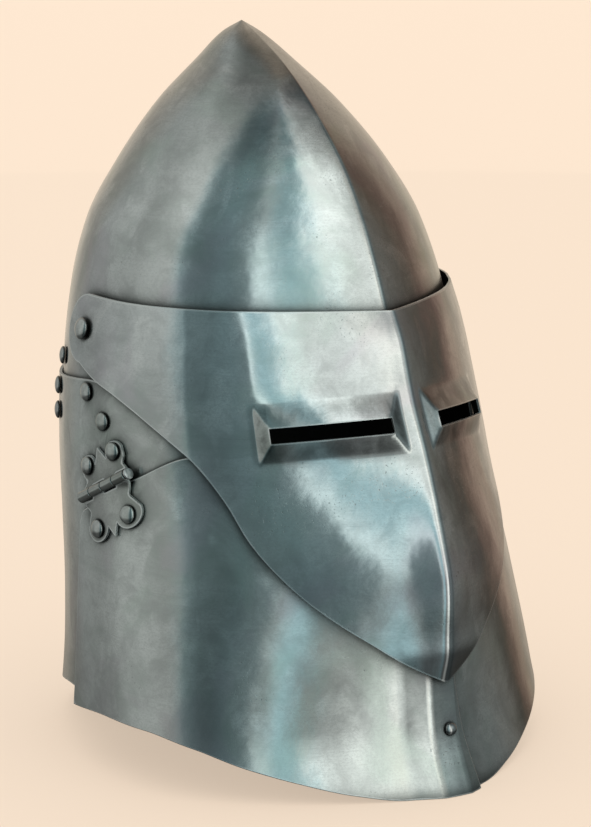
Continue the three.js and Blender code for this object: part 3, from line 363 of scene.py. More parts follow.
def steel(name, rough, base=BARE_STEEL, brush=1.0, smudge=1.0, dents=1.0, aniso=0.7, corner_shade=0.9,
          wear_and_highlight=0.0, twist=0.0):
    # brush, smudge and dents scale the brushing, the dirt and the bumps. The last three are the
    # strength of the painted shade and grime in corners, of the worn edges with their painted
    # highlight, and of the turned shading.
    material = bpy.data.materials.new(name)
    material.use_nodes = True
    tree = material.node_tree
    tree.nodes.clear()
    node = tree.nodes.new
    link = tree.links.new
    out, shader = node("ShaderNodeOutputMaterial"), node("ShaderNodeBsdfPrincipled")
    link(shader.outputs["BSDF"], out.inputs["Surface"])
    place = node("ShaderNodeTexCoord").outputs["Object"]

    def mapped(scale, turn=(0, 0, 0)):
        mapping = node("ShaderNodeMapping")
        mapping.inputs["Scale"].default_value = scale
        mapping.inputs["Rotation"].default_value = turn
        link(place, mapping.inputs["Vector"])
        return mapping.outputs["Vector"]

    def noise(vector, scale, detail, roughness, distortion=0.0):
        texture = node("ShaderNodeTexNoise")
        texture.inputs["Scale"].default_value = scale
        texture.inputs["Detail"].default_value = detail
        texture.inputs["Roughness"].default_value = roughness
        texture.inputs["Distortion"].default_value = distortion
        link(vector, texture.inputs["Vector"])
        return texture.outputs["Fac"]

    def spread(value, low, high, to_low=0.0, to_high=1.0):
        mapper = node("ShaderNodeMapRange")
        mapper.interpolation_type = "SMOOTHSTEP"
        for key, number in (("From Min", low), ("From Max", high),
                            ("To Min", to_low), ("To Max", to_high)):
            mapper.inputs[key].default_value = number
        link(value, mapper.inputs["Value"])
        return mapper.outputs["Result"]

    def math_node(kind, a, b):
        m = node("ShaderNodeMath")
        m.operation = kind
        for socket, value in zip(m.inputs, (a, b)):
            if isinstance(value, (int, float)):
                socket.default_value = value
            else:
                link(value, socket)
        return m.outputs[0]

    def mix(share, a, b):
        m = node("ShaderNodeMix")
        m.data_type = "RGBA"
        link(share, m.inputs[0])
        for socket, value in ((m.inputs[MIX_A], a), (m.inputs[MIX_B], b)):
            if isinstance(value, tuple):
                socket.default_value = (*value, 1)
            else:
                link(value, socket)
        return m.outputs[MIX_RESULT]

    def attribute(kept):
        reader = node("ShaderNodeAttribute")
        reader.attribute_name = kept
        return reader.outputs["Fac"]

    def toned(*factors):
        # the base colour times one factor, or times one for each channel
        return tuple(c * k for c, k in zip(base, factors * 3 if len(factors) == 1 else factors))

    plain = mapped((1, 1, 1))
    brushing = noise(mapped((16, 16, 1500)), 1.0, 4, 0.62)
    coarse_brushing = noise(mapped((7, 7, 380), (0.02, 0.015, 0)), 1.0, 3, 0.6)
    clouds = noise(mapped((1, 1, 1.5)), 15, 6, 0.62, 0.8)
    smears = noise(mapped((1, 1, 0.6), (0.3, 0.4, 0)), 26, 2, 0.4, 1.6)
    smeared = spread(smears, 0.55, 0.66)
    patches = noise(plain, 38, 5, 0.6, 1.2)
    wipes = noise(mapped((14, 14, 60), (0.5, 0.25, 0)), 1.0, 3, 0.6, 0.4)
    falling = noise(mapped((16, 16, 1900), (0.75, 0.2, 0.1)), 1.0, 2, 0.5)
    rising = noise(mapped((18, 18, 2100), (-0.6, 0.5, 0.3)), 1.0, 2, 0.5)
    scratches = math_node("MAXIMUM", spread(falling, 0.74, 0.78), spread(rising, 0.75, 0.79))
    pits = noise(plain, 900, 2, 0.5)
    pitted = spread(noise(plain, 26, 3, 0.6), 0.52, 0.68)
    speck = math_node("MULTIPLY", spread(pits, 0.64, 0.72), pitted)
    waves = noise(mapped((1, 1, 0.7)), 22, 2, 0.45)
    dent = noise(plain, 85, 2, 0.5)
    mottle = noise(plain, 70, 6, 0.68, 0.6)
    tints = noise(mapped((1, 1, 0.8), (0.2, 0.5, 0)), 17, 3, 0.5, 0.9)
    grain = noise(mapped((1, 1, 1.6)), 700, 3, 0.6)
    # painted shade and grime: darker and rougher where the ambient occlusion finds corners and gaps
    # between the parts
    corner_shade_probe = node("ShaderNodeAmbientOcclusion")
    corner_shade_probe.samples = CORNER_SAMPLES
    corner_shade_probe.inputs["Distance"].default_value = CORNER_REACH
    corner_shade_and_grime = spread(corner_shade_probe.outputs["AO"], 0.62, 0.99, 1.0, 0.0)

    surface = mix(spread(clouds, 0.46, 0.70), base, toned(0.70, 0.74, 0.71))
    for pattern, strength, color in (
        (smeared, 0.65 * min(smudge, 1), tuple(min(c * 1.2, 0.97) for c in base)),
        (spread(brushing, 0.45, 0.8), 0.22 * brush, toned(0.62)),
        (spread(mottle, 0.42, 0.68), 0.75, toned(0.74)),
        (spread(tints, 0.52, 0.68), 0.7, toned(0.86, 0.79, 0.84)),
        (spread(tints, 0.46, 0.32), 0.6, toned(0.80, 0.88, 0.82)),
        (spread(grain, 0.4, 0.7), 0.42, toned(0.74)),
        (speck, min(0.75 * smudge, 1), toned(0.3)),
        (scratches, 0.4 * smudge, toned(0.55)),
        (corner_shade_and_grime, corner_shade, CORNER_SHADE_AND_GRIME),
    ):
        surface = mix(math_node("MULTIPLY", pattern, strength), surface, color)
    rougher = [(spread(wipes, 0.45, 0.75), 0.08 * smudge),
               (spread(patches, 0.5, 0.75), 0.07 * smudge),
               (smeared, 0.05 * smudge), (corner_shade_and_grime, 0.25)]
    if wear_and_highlight:
        # darker, mottled spots round the rivets and hinges, with painted shadow under the visor's
        # edges and painted shade on the sight folds
        darkening_and_shade_blotch = math_node("MULTIPLY", attribute("darkening_and_shade"), spread(mottle, 0.34, 0.62, 0.25, 1.0))
        surface = mix(darkening_and_shade_blotch, surface, DARKENING_AND_SHADE_COLOR)
        # the worn edges, lighter and rougher, partly a painted highlight along the plates' edges
        ragged = math_node("ADD", attribute("edge_away"), math_node("MULTIPLY", patches, 0.9))
        worn_highlight = math_node("MULTIPLY", spread(ragged, 0.95, 1.35, 1.0, 0.0), wear_and_highlight)
        surface = mix(worn_highlight, surface, WORN_AND_HIGHLIGHT_STEEL)
        rougher.append((worn_highlight, 0.22))
    link(surface, shader.inputs["Base Color"])

    roughness = rough
    for pattern, amount in rougher:
        roughness = math_node("ADD", roughness, math_node("MULTIPLY", pattern, amount))
    link(roughness, shader.inputs["Roughness"])
    shader.inputs["Metallic"].default_value = 1.0
    shader.inputs["Anisotropic"].default_value = aniso
    shader.inputs["Anisotropic Rotation"].default_value = 0.25
    tangent = node("ShaderNodeTangent")
    tangent.direction_type = "RADIAL"
    tangent.axis = "Z"
    link(tangent.outputs[0], shader.inputs["Tangent"])

    normal = None
    if twist:
        split = node("ShaderNodeSeparateXYZ")
        link(place, split.inputs[0])
        width, height = split.outputs["X"], split.outputs["Z"]
        above = math_node("MULTIPLY", spread(height, *TWIST_ABOVE, 0.0, twist),
                          spread(width, *TWIST_ABOVE_SIDE))
        below = math_node("MULTIPLY", spread(height, *TWIST_BELOW, TWIST_BACK * twist, 0.0),
                          spread(width, *TWIST_BELOW_SIDE, 1.0, TWIST_GROWTH))
        turn = math_node("MULTIPLY", math_node("ADD", above, below),
                         spread(width, *TWIST_KEEL, 1.0, 0.0))
        facing = node("ShaderNodeNewGeometry").outputs["Normal"]
        across, moved, turned = (node("ShaderNodeVectorMath") for _ in range(3))
        across.operation, moved.operation, turned.operation = "CROSS_PRODUCT", "SCALE", "ADD"
        across.inputs[0].default_value = (0, 0, 1)
        link(facing, across.inputs[1])
        link(across.outputs[0], moved.inputs[0])
        link(turn, moved.inputs["Scale"])
        link(facing, turned.inputs[0])
        link(moved.outputs[0], turned.inputs[1])
        unit = node("ShaderNodeVectorMath")
        unit.operation = "NORMALIZE"
        link(turned.outputs[0], unit.inputs[0])
        normal = unit.outputs[0]
    for height, strength, distance in (
        (waves, 0.8 * dents, 0.0016),
        (dent, 0.22 * dents, 0.0005),
        (patches, 0.10 * dents, 0.0007),
        (brushing, 0.2 * brush, 0.00004),
        (coarse_brushing, 0.14 * brush, 0.00008),
        (scratches, 0.12 * smudge, -0.00003),
        (speck, 0.4 * smudge, -0.00008),
    ):
        bump = node("ShaderNodeBump")
        bump.inputs["Strength"].default_value = min(strength, 1)
        bump.inputs["Distance"].default_value = distance
        link(height, bump.inputs["Height"])
        if normal is not None:
            link(normal, bump.inputs["Normal"])
        normal = bump.outputs["Normal"]
    link(normal, shader.inputs["Normal"])
    return material


SKULL = steel("steel_skull", rough=0.11, dents=0.6, wear_and_highlight=0.5)
BACK = steel("steel_back", base=(0.77, 0.785, 0.775), rough=0.15, dents=0.6, wear_and_highlight=0.8)
CHEEK = steel("steel_cheek", base=(0.79, 0.805, 0.795), rough=0.12, dents=0.7, wear_and_highlight=0.9)
VISOR = steel("steel_visor", base=(0.80, 0.82, 0.825), rough=0.11, dents=0.8, wear_and_highlight=0.9,
              twist=0.105)
HINGE = steel("steel_hinge", base=(0.60, 0.61, 0.595), rough=0.14, brush=0.6, smudge=1.3,
              dents=0.4, aniso=0.2, wear_and_highlight=0.8)
RIVET = steel("steel_rivet", base=(0.70, 0.71, 0.70), rough=0.09, brush=0.5, smudge=1.2,
              dents=0.4, aniso=0.2)
# the plates' rims and bevels: worn steel, painted lighter and rougher as their highlight
WORN_HIGHLIGHT_EDGE = steel("steel_edge_highlight", base=(0.93, 0.94, 0.94), rough=0.32, brush=0.4, smudge=0.5,
                  dents=0.3, aniso=0.0, corner_shade=0.0)
INSIDE = steel("steel_inside", base=(0.10, 0.098, 0.094), rough=0.5, smudge=1.3, dents=0.6,
               aniso=0.1)


# skull
BROW_START, LEAN_STEP, LEAN_LIMIT = 0.4, 0.01, 3
SKULL_TOP, SKULL_ROWS, ROW_CLOSING = 0.9985, 80, 1.25  # the rows close up towards the tip
RIDGE_GIRTHS, FRONT_COLUMNS, BACK_COLUMNS = [0, 0.004, 0.009, 0.018], 40, 36
TIP_HALF, TIP_DROP, TIP_BEND, SWING_BEND = 8, 1.5, 8, 4


def skull_edge(depth):
    start = CHEEK_FRONT * BROW_START
    share = clamp((depth - start) / (CHEEK_FRONT - start))
    low = SEAM_HEIGHT - SEAM_LAP
    return low + (BROW_HEIGHT - low) * share * share * (3 - 2 * share)


def lean_factor(height):
    step = HELM_HEIGHT * LEAN_STEP
    above, below = Section(min(height + step, HELM_HEIGHT)), Section(height - step)
    return math.sqrt(1 + ((below.half - above.half) / (2 * step)) ** 2)


def depth_on_skull(girth_of):
    return lambda h: on_section(Section(h), girth_of(h), 0, 0)[1]


def make_skull():
    ridge_end = RIDGE_GIRTHS[-1]
    front = RIDGE_GIRTHS + [ridge_end + (1 - ridge_end) * t for t in steps(FRONT_COLUMNS)[1:]]
    girths = mirrored(front + [1 + t for t in steps(BACK_COLUMNS)[1:]])

    def column(girth, inside):
        low = height_on_edge(skull_edge, depth_on_skull(lambda h: girth), SEAM_HEIGHT)
        high = HELM_HEIGHT * SKULL_TOP
        result = []
        for t in steps(SKULL_ROWS):
            height = low + (high - low) * (1 - (1 - t) ** ROW_CLOSING)
            section = Section(height)
            if inside:
                wall = PLATE * min(lean_factor(height), LEAN_LIMIT)
                lift = -wall * min(1, section.half / TIP_HALF)
                height -= PLATE * TIP_DROP * t ** TIP_BEND
            else:
                lift = -SWING_ROOM * (1 - t ** SWING_BEND)
            result.append(point(section, 1, girth, height, lift, RIDGE_ROUND))
        return result

    ahead = FRAME_SHIFT - Section(HELM_HEIGHT).mid
    outer_tip = Vector((0, ahead, HELM_HEIGHT))
    inner_tip = Vector((0, ahead, HELM_HEIGHT * SKULL_TOP - PLATE * TIP_DROP))
    outer = [column(girth, False) + [outer_tip] for girth in girths]
    inner = [column(girth, True) + [inner_tip] for girth in girths]
    verts, faces, marks = plate_faces(outer, inner, loop=True)
    shell = new_object("skull_shell", verts, faces, "helm", SKULL, ["skull"], "skull", marks=marks)
    return edge_bevel(shell, angle=70)


# back plate
UNDER_EASE, SIDE_COLUMNS, NAPE_COLUMNS, BACK_ROWS = 0.4, 48, 36, 44


def cheek_top(depth):
    return CHEEK_CORNER + SEAM_HEIGHT * cheek_edge_share((depth - CHEEK_BACK) / CHEEK_FRONT)


def back_plate_edge(depth):
    rim = RIM_RISE * nape_rim_share(rim_along(depth))
    front = CHEEK_BACK + THROAT_LAP
    under = cheek_top(max(depth, front)) - THROAT_LAP
    return rim + (under - rim) * clamp((depth - front) / (THROAT_LAP * UNDER_EASE))


def seam_top(depth):
    return SEAM_HEIGHT - SEAM_FALL * clamp((CHEEK_BACK - depth) / (BACK_LENGTH / 2))


def make_back_plate():
    side_end = CHEEK_BACK - THROAT_LAP * 2
    columns = [(0, t) for t in steps(SIDE_COLUMNS)] + [(t, 1) for t in steps(NAPE_COLUMNS)[1:]]

    def girth_of(entry, height):
        nape, share = entry
        side = girth_at(Section(height), CHEEK_FRONT + (side_end - CHEEK_FRONT) * share)
        return side + (2 - side) * nape

    def build(entry, side, lift):
        depth_at = depth_on_skull(lambda h: girth_of(entry, h))
        low = height_on_edge(back_plate_edge, depth_at, SEAM_HEIGHT / 2)
        high = height_on_edge(seam_top, depth_at, SEAM_HEIGHT)
        return [point(Section(h), side, girth_of(entry, h), h, lift)
                for h in between(low, high, BACK_ROWS)]

    def ring(lift):
        left = [build(entry, 1, lift) for entry in columns]
        return left + [build(entry, -1, lift) for entry in columns[-2::-1]]

    verts, faces, marks = plate_faces(ring(BACK_INNER + PLATE), ring(BACK_INNER))
    return edge_bevel(new_object("back_plate_shell", verts, faces, "helm", BACK, ["back_plate"],
                                 "back_plate", marks=marks))


# cheek plates
LAP_COUNTS, EDGE_COUNTS, CHEEK_COLUMNS, CHEEK_ROWS = (4, 6, 6, 6), (12,), 56, 46
KEEL_CROWN = 0.11


def cheek_rim(depth):
    return RIM_RISE * cheek_rim_share(rim_along(depth))


def girth_across(section, width):
    return 1 - (1 - width / section.half) ** (1 / section.power)


def lap_width(height):
    return LAP_WIDTH * max(1 - LAP_NARROWS * height / CHEEK_CORNER, LAP_LEAST)


def make_cheek(name, side):
    over = side < 0

    def edge(height, cover=0):
        return girth_across(Section(height), lap_width(height) - cover)

    if over:
        lines = [lambda h: -edge(h), lambda h: -LAP_BLUNT, lambda h: LAP_BLUNT,
                 lambda h: LAP_RISE, lambda h: LAP_STEP]
    else:
        lines = [lambda h: edge(h, LAP_COVER), lambda h: LAP_STEP]
    lines.append(lambda h: girth_at(Section(h), CHEEK_BACK))
    columns = [lines[0]]
    counts = (LAP_COUNTS if over else EDGE_COUNTS) + (CHEEK_COLUMNS,)
    for a, b, count in zip(lines, lines[1:], counts):
        columns += [lambda h, a=a, b=b, t=t: a(h) + (b(h) - a(h)) * t for t in steps(count)[1:]]

    def lap_lift(girth):
        return LAP_LIFT * clamp((LAP_RISE - girth) / (LAP_RISE + LAP_BLUNT)) if over else 0

    def keel_point(section, girth, height, lift):
        place = point(section, side, girth, height, lift + lap_lift(girth))
        if over and abs(girth) < LAP_BLUNT:  # the blunt keel runs nearly straight from edge to edge
            ends = [point(section, side, g, height, lift + lap_lift(g))
                    for g in (-LAP_BLUNT, LAP_BLUNT)]
            flat = ends[0].lerp(ends[1], (girth / LAP_BLUNT + 1) / 2)
            return flat.lerp(place, KEEL_CROWN * (1 - (girth / LAP_BLUNT) ** 2))
        return place

    def build(column, lift):
        depth_at = depth_on_skull(column)
        low = height_on_edge(cheek_rim, depth_at, 0)
        high = height_on_edge(cheek_top, depth_at, CHEEK_CORNER)
        return [keel_point(Section(h), column(h), h, lift) for h in between(low, high, CHEEK_ROWS)]

    outer, inner = ([build(column, lift) for column in columns]
                    for lift in (CHEEK_INNER + PLATE, CHEEK_INNER))
    verts, faces, marks = plate_faces(outer, inner)
    label = "right" if over else "left"
    return edge_bevel(new_object(f"cheek_shell_{label}", verts, faces, f"cheek_{label}", CHEEK,
                                 [name], "cheek_plates", marks=marks))


# visor
SIGHT_INNER, SIGHT_OUTER, BOX_INNER, BOX_OUTER = 0.055, 0.3, 0.025, 0.338
KEEL_HEIGHTS = [VISOR_TIP + (VISOR_TOP - VISOR_TIP) * up for up, _ in KEEL]
VISOR_REACH = max(visor_section(height).nose for height in KEEL_HEIGHTS) - PIVOT_DEPTH
CREST_REACH, ARM_REACH, FACE_END = 0.45, 0.27, 0.53
CHIN, FOLD, SLOT, BROW = 30, 9, 2, 12  # rows from the tip up to the top
SLOT_ROW = CHIN + FOLD
EVEN_ROWS, BOX_FADE = (0.4, 0.52, 0.64, 0.82), 0.2  # where the rows lie beside the boxes
FOLD_SOFT, FOLD_FOOT = 0.1, 0.1
# painted shade on the sight boxes' folds: at their ends, under the slot and over it
END_SHADE, UNDER_SHADE, OVER_SHADE = 0.75, 0.5, 0.35
NOSE_GIRTHS, ARM_COLUMNS = (0, 0.004, 0.009, 0.017), 14
ARM_ANGLES = (8, 16, 24, 32, 40, 48, 56, 64, 71, 77, 82, 86, 89)


def arm_half(behind):
    return math.sqrt(max(ARM_RADIUS ** 2 - behind ** 2, 0))


def visor_top(depth):
    behind = PIVOT_DEPTH - depth
    if behind > 0:
        return PIVOT_HEIGHT + arm_half(behind)
    crest = PIVOT_HEIGHT + ARM_RADIUS
    return crest + (VISOR_TOP - crest) * min(min(-behind / VISOR_REACH, 1) / CREST_REACH, 1)


def visor_bottom(depth):
    behind = PIVOT_DEPTH - depth
    if behind > 0:
        return PIVOT_HEIGHT - arm_half(behind)
    arm = PIVOT_HEIGHT - ARM_RADIUS
    return VISOR_TIP + (arm - VISOR_TIP) * visor_edge_share(-behind / VISOR_REACH)


def sight_middle(girth):
    along = (girth - SIGHT_INNER) / (SIGHT_OUTER - SIGHT_INNER)
    return SIGHT_HEIGHT - SIGHT_DROP * clamp(along, -0.3, 1.3)


def visor_heights(girth, low, high):
    middle, slot = sight_middle(BOX_OUTER if girth is None else girth), SIGHT_SLOT / 2
    lines = [middle - slot - SIGHT_BOX, middle - slot, middle + slot, middle + slot + SIGHT_BOX]
    even = [low + (high - low) * share for share in EVEN_ROWS]
    blend = 1 if girth is None else clamp((girth - BOX_OUTER) / BOX_FADE)
    a, b, c, d = (line + (e - line) * blend for line, e in zip(lines, even))
    result = [low]
    for lower, upper, count in ((low, a, CHIN), (a, b, FOLD), (b, c, SLOT), (c, d, FOLD),
                                (d, high, BROW)):
        result += between(lower, upper, count)[1:]
    return result


def fold_rise(girth, row):
    if girth is None or not BOX_INNER < girth < BOX_OUTER:
        return 0
    along = min((girth - BOX_INNER) / (SIGHT_INNER - BOX_INNER),
                (BOX_OUTER - girth) / (BOX_OUTER - SIGHT_OUTER))
    across = clamp(min(row - CHIN, SLOT_ROW + SLOT + FOLD - row) / FOLD)
    if along < 1:
        across = (across + along - math.hypot(across - along, FOLD_SOFT)) / 2
    share = clamp(across)
    return SIGHT_RISE * share * share * (1 + FOLD_FOOT) / (share + FOLD_FOOT)


def fold_shade(girth, row, rise):
    # painted shade half way up the folds of the box, most of it at the box's ends
    if girth is None:
        return 0
    foot = clamp(rise / SIGHT_RISE)
    foot = 4 * foot * (1 - foot)
    if girth > SIGHT_OUTER or girth < SIGHT_INNER:
        return END_SHADE * foot
    return foot * (UNDER_SHADE if row < SLOT_ROW else OVER_SHADE)


def make_visor():
    # a column keeps its girth over the face, and its depth along the arm
    columns = [(girth, None) for girth in NOSE_GIRTHS]
    for a, b, count in ((NOSE_GIRTHS[-1], BOX_INNER, 2), (BOX_INNER, SIGHT_INNER, FOLD),
                        (SIGHT_INNER, SIGHT_OUTER, 26), (SIGHT_OUTER, BOX_OUTER, FOLD),
                        (BOX_OUTER, FACE_END, 12)):
        columns += [(girth, None) for girth in between(a, b, count)[1:]]
    arm_start = PIVOT_DEPTH + VISOR_REACH * ARM_REACH
    columns += [(None, depth) for depth in between(arm_start, PIVOT_DEPTH, ARM_COLUMNS)]
    columns += [(None, PIVOT_DEPTH - ARM_RADIUS * math.sin(math.radians(angle)))
                for angle in ARM_ANGLES]
    painted_shades = []

    def build(entry, side, wall):
        girth, depth = entry

        def depth_at(height):
            return depth if girth is None else on_section(visor_section(height), girth, 0, 0)[1]

        low = height_on_edge(visor_bottom, depth_at, PIVOT_HEIGHT - ARM_RADIUS)
        high = height_on_edge(visor_top, depth_at, VISOR_TOP)
        result = []
        for row, height in enumerate(visor_heights(girth, low, high)):
            section = visor_section(height)
            g = girth_at(section, depth) if girth is None else girth
            rise = fold_rise(girth, row)
            painted_shades.append(fold_shade(girth, row, rise))
            width, ahead = on_section(section, g, visor_inner(height) + wall + rise,
                                      (wall - PLATE + rise) * section.ridge_lift, RIDGE_ROUND)
            result.append(Vector((side * width, FRAME_SHIFT - ahead, height)))
        return result

    def ring(wall):
        right = [build(entry, -1, wall) for entry in columns[:0:-1]]
        return right + [build(entry, 1, wall) for entry in columns]

    def column_at(line):
        return next(i for i, (g, _) in enumerate(columns) if g is not None and abs(g - line) < 1e-6)

    middle = len(columns) - 1
    sight_from, sight_to = column_at(SIGHT_INNER), column_at(SIGHT_OUTER)

    def slot_cell(c, r):
        away = c - middle if c >= middle else middle - 1 - c
        return SLOT_ROW <= r < SLOT_ROW + SLOT and sight_from <= away < sight_to

    verts, faces, marks = plate_faces(ring(PLATE), ring(SWING_ROOM * 2), slot_cell)
    shell = new_object("visor_shell", verts, faces, "visor", VISOR, ["visor"], "visor",
                       marks=marks, painted_shades=painted_shades)
    return edge_bevel(shell, angle=60)


# rivets
SEAT_STEP = 2
DOME_RIM, DOME_POWER, DOME_RINGS, DOME_SEGMENTS = 0.22, 1.05, 10, 36
WOBBLE = ((0.012, 3, 1), (0.008, 5, 2))  # share of the radius, waves round the head, and phase


def seat_on(section_of, side, depth, height, lift):
    def at(d, h):
        section = section_of(h)
        return point(section, side, girth_at(section, d), h, lift)
    ahead = at(depth + SEAT_STEP, height) - at(depth - SEAT_STEP, height)
    above = at(depth, height + SEAT_STEP) - at(depth, height - SEAT_STEP)
    outward = ahead.cross(above).normalized()
    if outward.x * side < 0:
        outward.negate()
    return at(depth, height), outward


def dome(node, place, outward, radius, height, room, body):
    name = f"{node}_head"
    rim = height * DOME_RIM
    profile = [(0, 0), (radius * 0.9, 0), (radius * 0.98, rim * 0.3), (radius, rim * 0.7)]
    for i in range(1, DOME_RINGS):
        angle = i / DOME_RINGS * math.pi / 2
        profile.append((radius * math.cos(angle) ** DOME_POWER,
                        rim + (height - rim) * math.sin(angle)))
    profile.append((0, height))
    turn = Vector((0, 0, 1)).rotation_difference(outward)
    base = place + outward * room
    seed = sum(ord(letter) for letter in name)

    def around(r, h, a):
        r *= 1 + sum(share * math.sin(waves * a + phase * seed) for share, waves, phase in WOBBLE)
        return base + turn @ Vector((r * math.cos(a), r * math.sin(a), h))

    def start(ring):
        return 0 if ring == 0 else 1 + (ring - 1) * DOME_SEGMENTS

    verts, faces = [], []
    for r, h in profile:
        count = 1 if r == 0 else DOME_SEGMENTS
        verts += [around(r, h, 2 * math.pi * i / DOME_SEGMENTS) for i in range(count)]
    top, last = len(profile) - 2, len(verts) - 1
    for i in range(DOME_SEGMENTS):
        j = (i + 1) % DOME_SEGMENTS
        faces.append([0, start(1) + j, start(1) + i])
        for k in range(1, top):
            faces.append([start(k) + i, start(k) + j, start(k + 1) + j, start(k + 1) + i])
        faces.append([start(top) + i, start(top) + j, last])
    return new_object(name, verts, faces, body, RIVET, [node], "rivets", sharp=60)


# hinges
SLOPE = math.radians(HINGE_SLOPE)
UPPER_LIFT, LOWER_LIFT = BACK_INNER + PLATE + SEAT, CHEEK_INNER + PLATE + SEAT
PIN_LIFT = BACK_INNER + PLATE + GAP + KNUCKLE_RADIUS
ROOT_SHARE, ROOT_ROOM, ROOT_BLEND, ROOT_BEND = 0.8, 0.2, 5, 0.6
LEAF_ROOT = KNUCKLE_RADIUS * ROOT_SHARE
LOBE_RADIUS, LOBE_BULGE, LEAF_BODY = 0.32, 0.95, 0.5
TOOTH_TOP, TOOTH_HALF, TOOTH_FALL = 1.02, 0.5, 0.42
WAIST, WAIST_AT, WAIST_SPAN = 5, 0.36, 0.28
LEAF_COLUMNS, LEAF_ROWS = 96, 14
CHAMFER, PIN_ROOM, PIN_SEGMENTS = 0.25, 0.3, 20
# name, up or down from the pin, depth and lift
LEAVES = (("upper", 1, UPPER_LEAF_DEPTH, UPPER_LIFT), ("lower", -1, LOWER_LEAF_DEPTH, LOWER_LIFT))


def hinge_place(along, away):
    return (HINGE_DEPTH + math.cos(SLOPE) * along - math.sin(SLOPE) * away,
            HINGE_HEIGHT + math.sin(SLOPE) * along + math.cos(SLOPE) * away)


def hinge_vector(side, along, away, lift):
    depth, height = hinge_place(along, away)
    section = Section(height)
    return point(section, side, girth_at(section, depth), height, lift)


def pin_line(side):
    end = HINGE_LENGTH / 2
    along = hinge_vector(side, end, 0, PIN_LIFT) - hinge_vector(side, -end, 0, PIN_LIFT)
    direction = along.normalized()
    outward = seat_on(Section, side, HINGE_DEPTH, HINGE_HEIGHT, PIN_LIFT)[1]
    upward = outward.cross(direction).normalized()
    if upward.z < 0:
        upward.negate()
    outward = direction.cross(upward).normalized()
    if outward.x * side < 0:
        outward.negate()
    return hinge_vector(side, 0, 0, PIN_LIFT), direction, outward, upward


def leaf_reach(along, depth):
    lobe = LOBE_SPACING / 2
    radius = depth * LOBE_RADIUS
    away = abs(abs(along) - lobe)
    rounded = tooth = 0
    if away < radius:
        rounded = depth - radius + math.sqrt(radius ** 2 - away ** 2) * LOBE_BULGE
    if abs(along) < lobe * TOOTH_HALF:
        tooth = depth * (TOOTH_TOP - abs(along) / (lobe * TOOTH_HALF) * TOOTH_FALL)
    return max(rounded, tooth, depth * LEAF_BODY)


def tube(line, start, end, radius, segments=28, hole=0.0):
    middle, direction, outward, upward = line
    rings = [(start, radius - CHAMFER), (start + CHAMFER, radius), (end - CHAMFER, radius),
             (end, radius - CHAMFER)]
    if hole:
        rings += [(end, hole), (start, hole)]
    verts = []
    for offset, r in rings:
        verts += [middle + direction * offset + outward * (r * math.cos(a))
                  + upward * (r * math.sin(a))
                  for a in (2 * math.pi * i / segments for i in range(segments))]
    faces = []
    n = len(rings)
    for k in range(n if hole else n - 1):
        this, other = k * segments, (k + 1) % n * segments
        for i in range(segments):
            j = (i + 1) % segments
            faces.append([this + i, this + j, other + j, other + i])
    if not hole:
        faces += [list(range(segments))[::-1], [(n - 1) * segments + i for i in range(segments)]]
    return verts, faces


def joined(parts):
    verts, faces, marks = [], [], []
    for v, f, *mark in parts:
        faces += [[i + len(verts) for i in face] for face in f]
        verts += v
        marks += mark[0] if mark else [OUTSIDE_FACE] * len(f)
    return verts, faces, marks


def make_leaf(node, side, up, depth, lift, body):
    half = HINGE_LENGTH / 2
    line = pin_line(side)
    middle, direction, outward, upward = line
    root = max(lift + SEAT - PIN_LIFT, -LEAF_ROOT * ROOT_SHARE)
    length = HINGE_LENGTH / KNUCKLES
    first = 0 if up > 0 else 1  # the leaves take turns along the pin

    def own(along):
        return int(clamp((along + half) / length, 0, KNUCKLES - 1e-6)) % 2 == first

    def sheet(extra):
        result = []
        for along in (-half + HINGE_LENGTH * t for t in steps(LEAF_COLUMNS)):
            reach = leaf_reach(along, depth)
            start = LEAF_ROOT if own(along) else KNUCKLE_RADIUS + GAP + ROOT_ROOM
            column = []
            for away in between(start, reach, LEAF_ROWS):
                blend = clamp((away - LEAF_ROOT) / ROOT_BLEND)
                waist = WAIST * max(1 - abs(away / depth - WAIST_AT) / WAIST_SPAN, 0)
                aside = clamp(along, waist - half, half - waist)
                flat = middle + direction * aside + upward * (up * away) + outward * (root + extra)
                curved = hinge_vector(side, aside, up * away, lift + extra)
                column.append(flat.lerp(curved, blend ** ROOT_BEND))
            result.append(column)
        return result

    parts = [plate_faces(sheet(LEAF_PLATE), sheet(0))]
    for i in range(first, KNUCKLES, 2):
        start = -half + length * i + GAP / 2
        parts.append(tube(line, start, start + length - GAP, KNUCKLE_RADIUS,
                          hole=PIN_RADIUS + PIN_ROOM))
    verts, faces, marks = joined(parts)
    shell = new_object(f"{node}_forged", verts, faces, body, HINGE, [node], "hinges", sharp=40,
                       marks=marks)
    return edge_bevel(shell, 0.25, 60)


def make_pin(node, side):
    line = pin_line(side)
    half = HINGE_LENGTH / 2
    head = half + GAP
    parts = [tube(line, -half, head, PIN_RADIUS, PIN_SEGMENTS),
             tube(line, head, head + PIN_HEAD_LENGTH, PIN_HEAD_RADIUS)]
    verts, faces, _ = joined(parts)
    return new_object(f"{node}_turned", verts, faces, "helm", HINGE, [node], "hinges", sharp=50)


def pivot_seat(side):
    lift = visor_inner(PIVOT_HEIGHT) + PLATE
    return seat_on(visor_section, side, PIVOT_DEPTH, PIVOT_HEIGHT, lift)


def side_rivet_seats(side):
    for name, behind, rise, on_back in SIDE_RIVETS:
        height = HINGE_HEIGHT + (SEAM_HEIGHT - HINGE_HEIGHT) * rise
        lift = (BACK_INNER + PLATE) * on_back
        yield name, *seat_on(Section, side, -BACK_LENGTH * behind, height, lift)


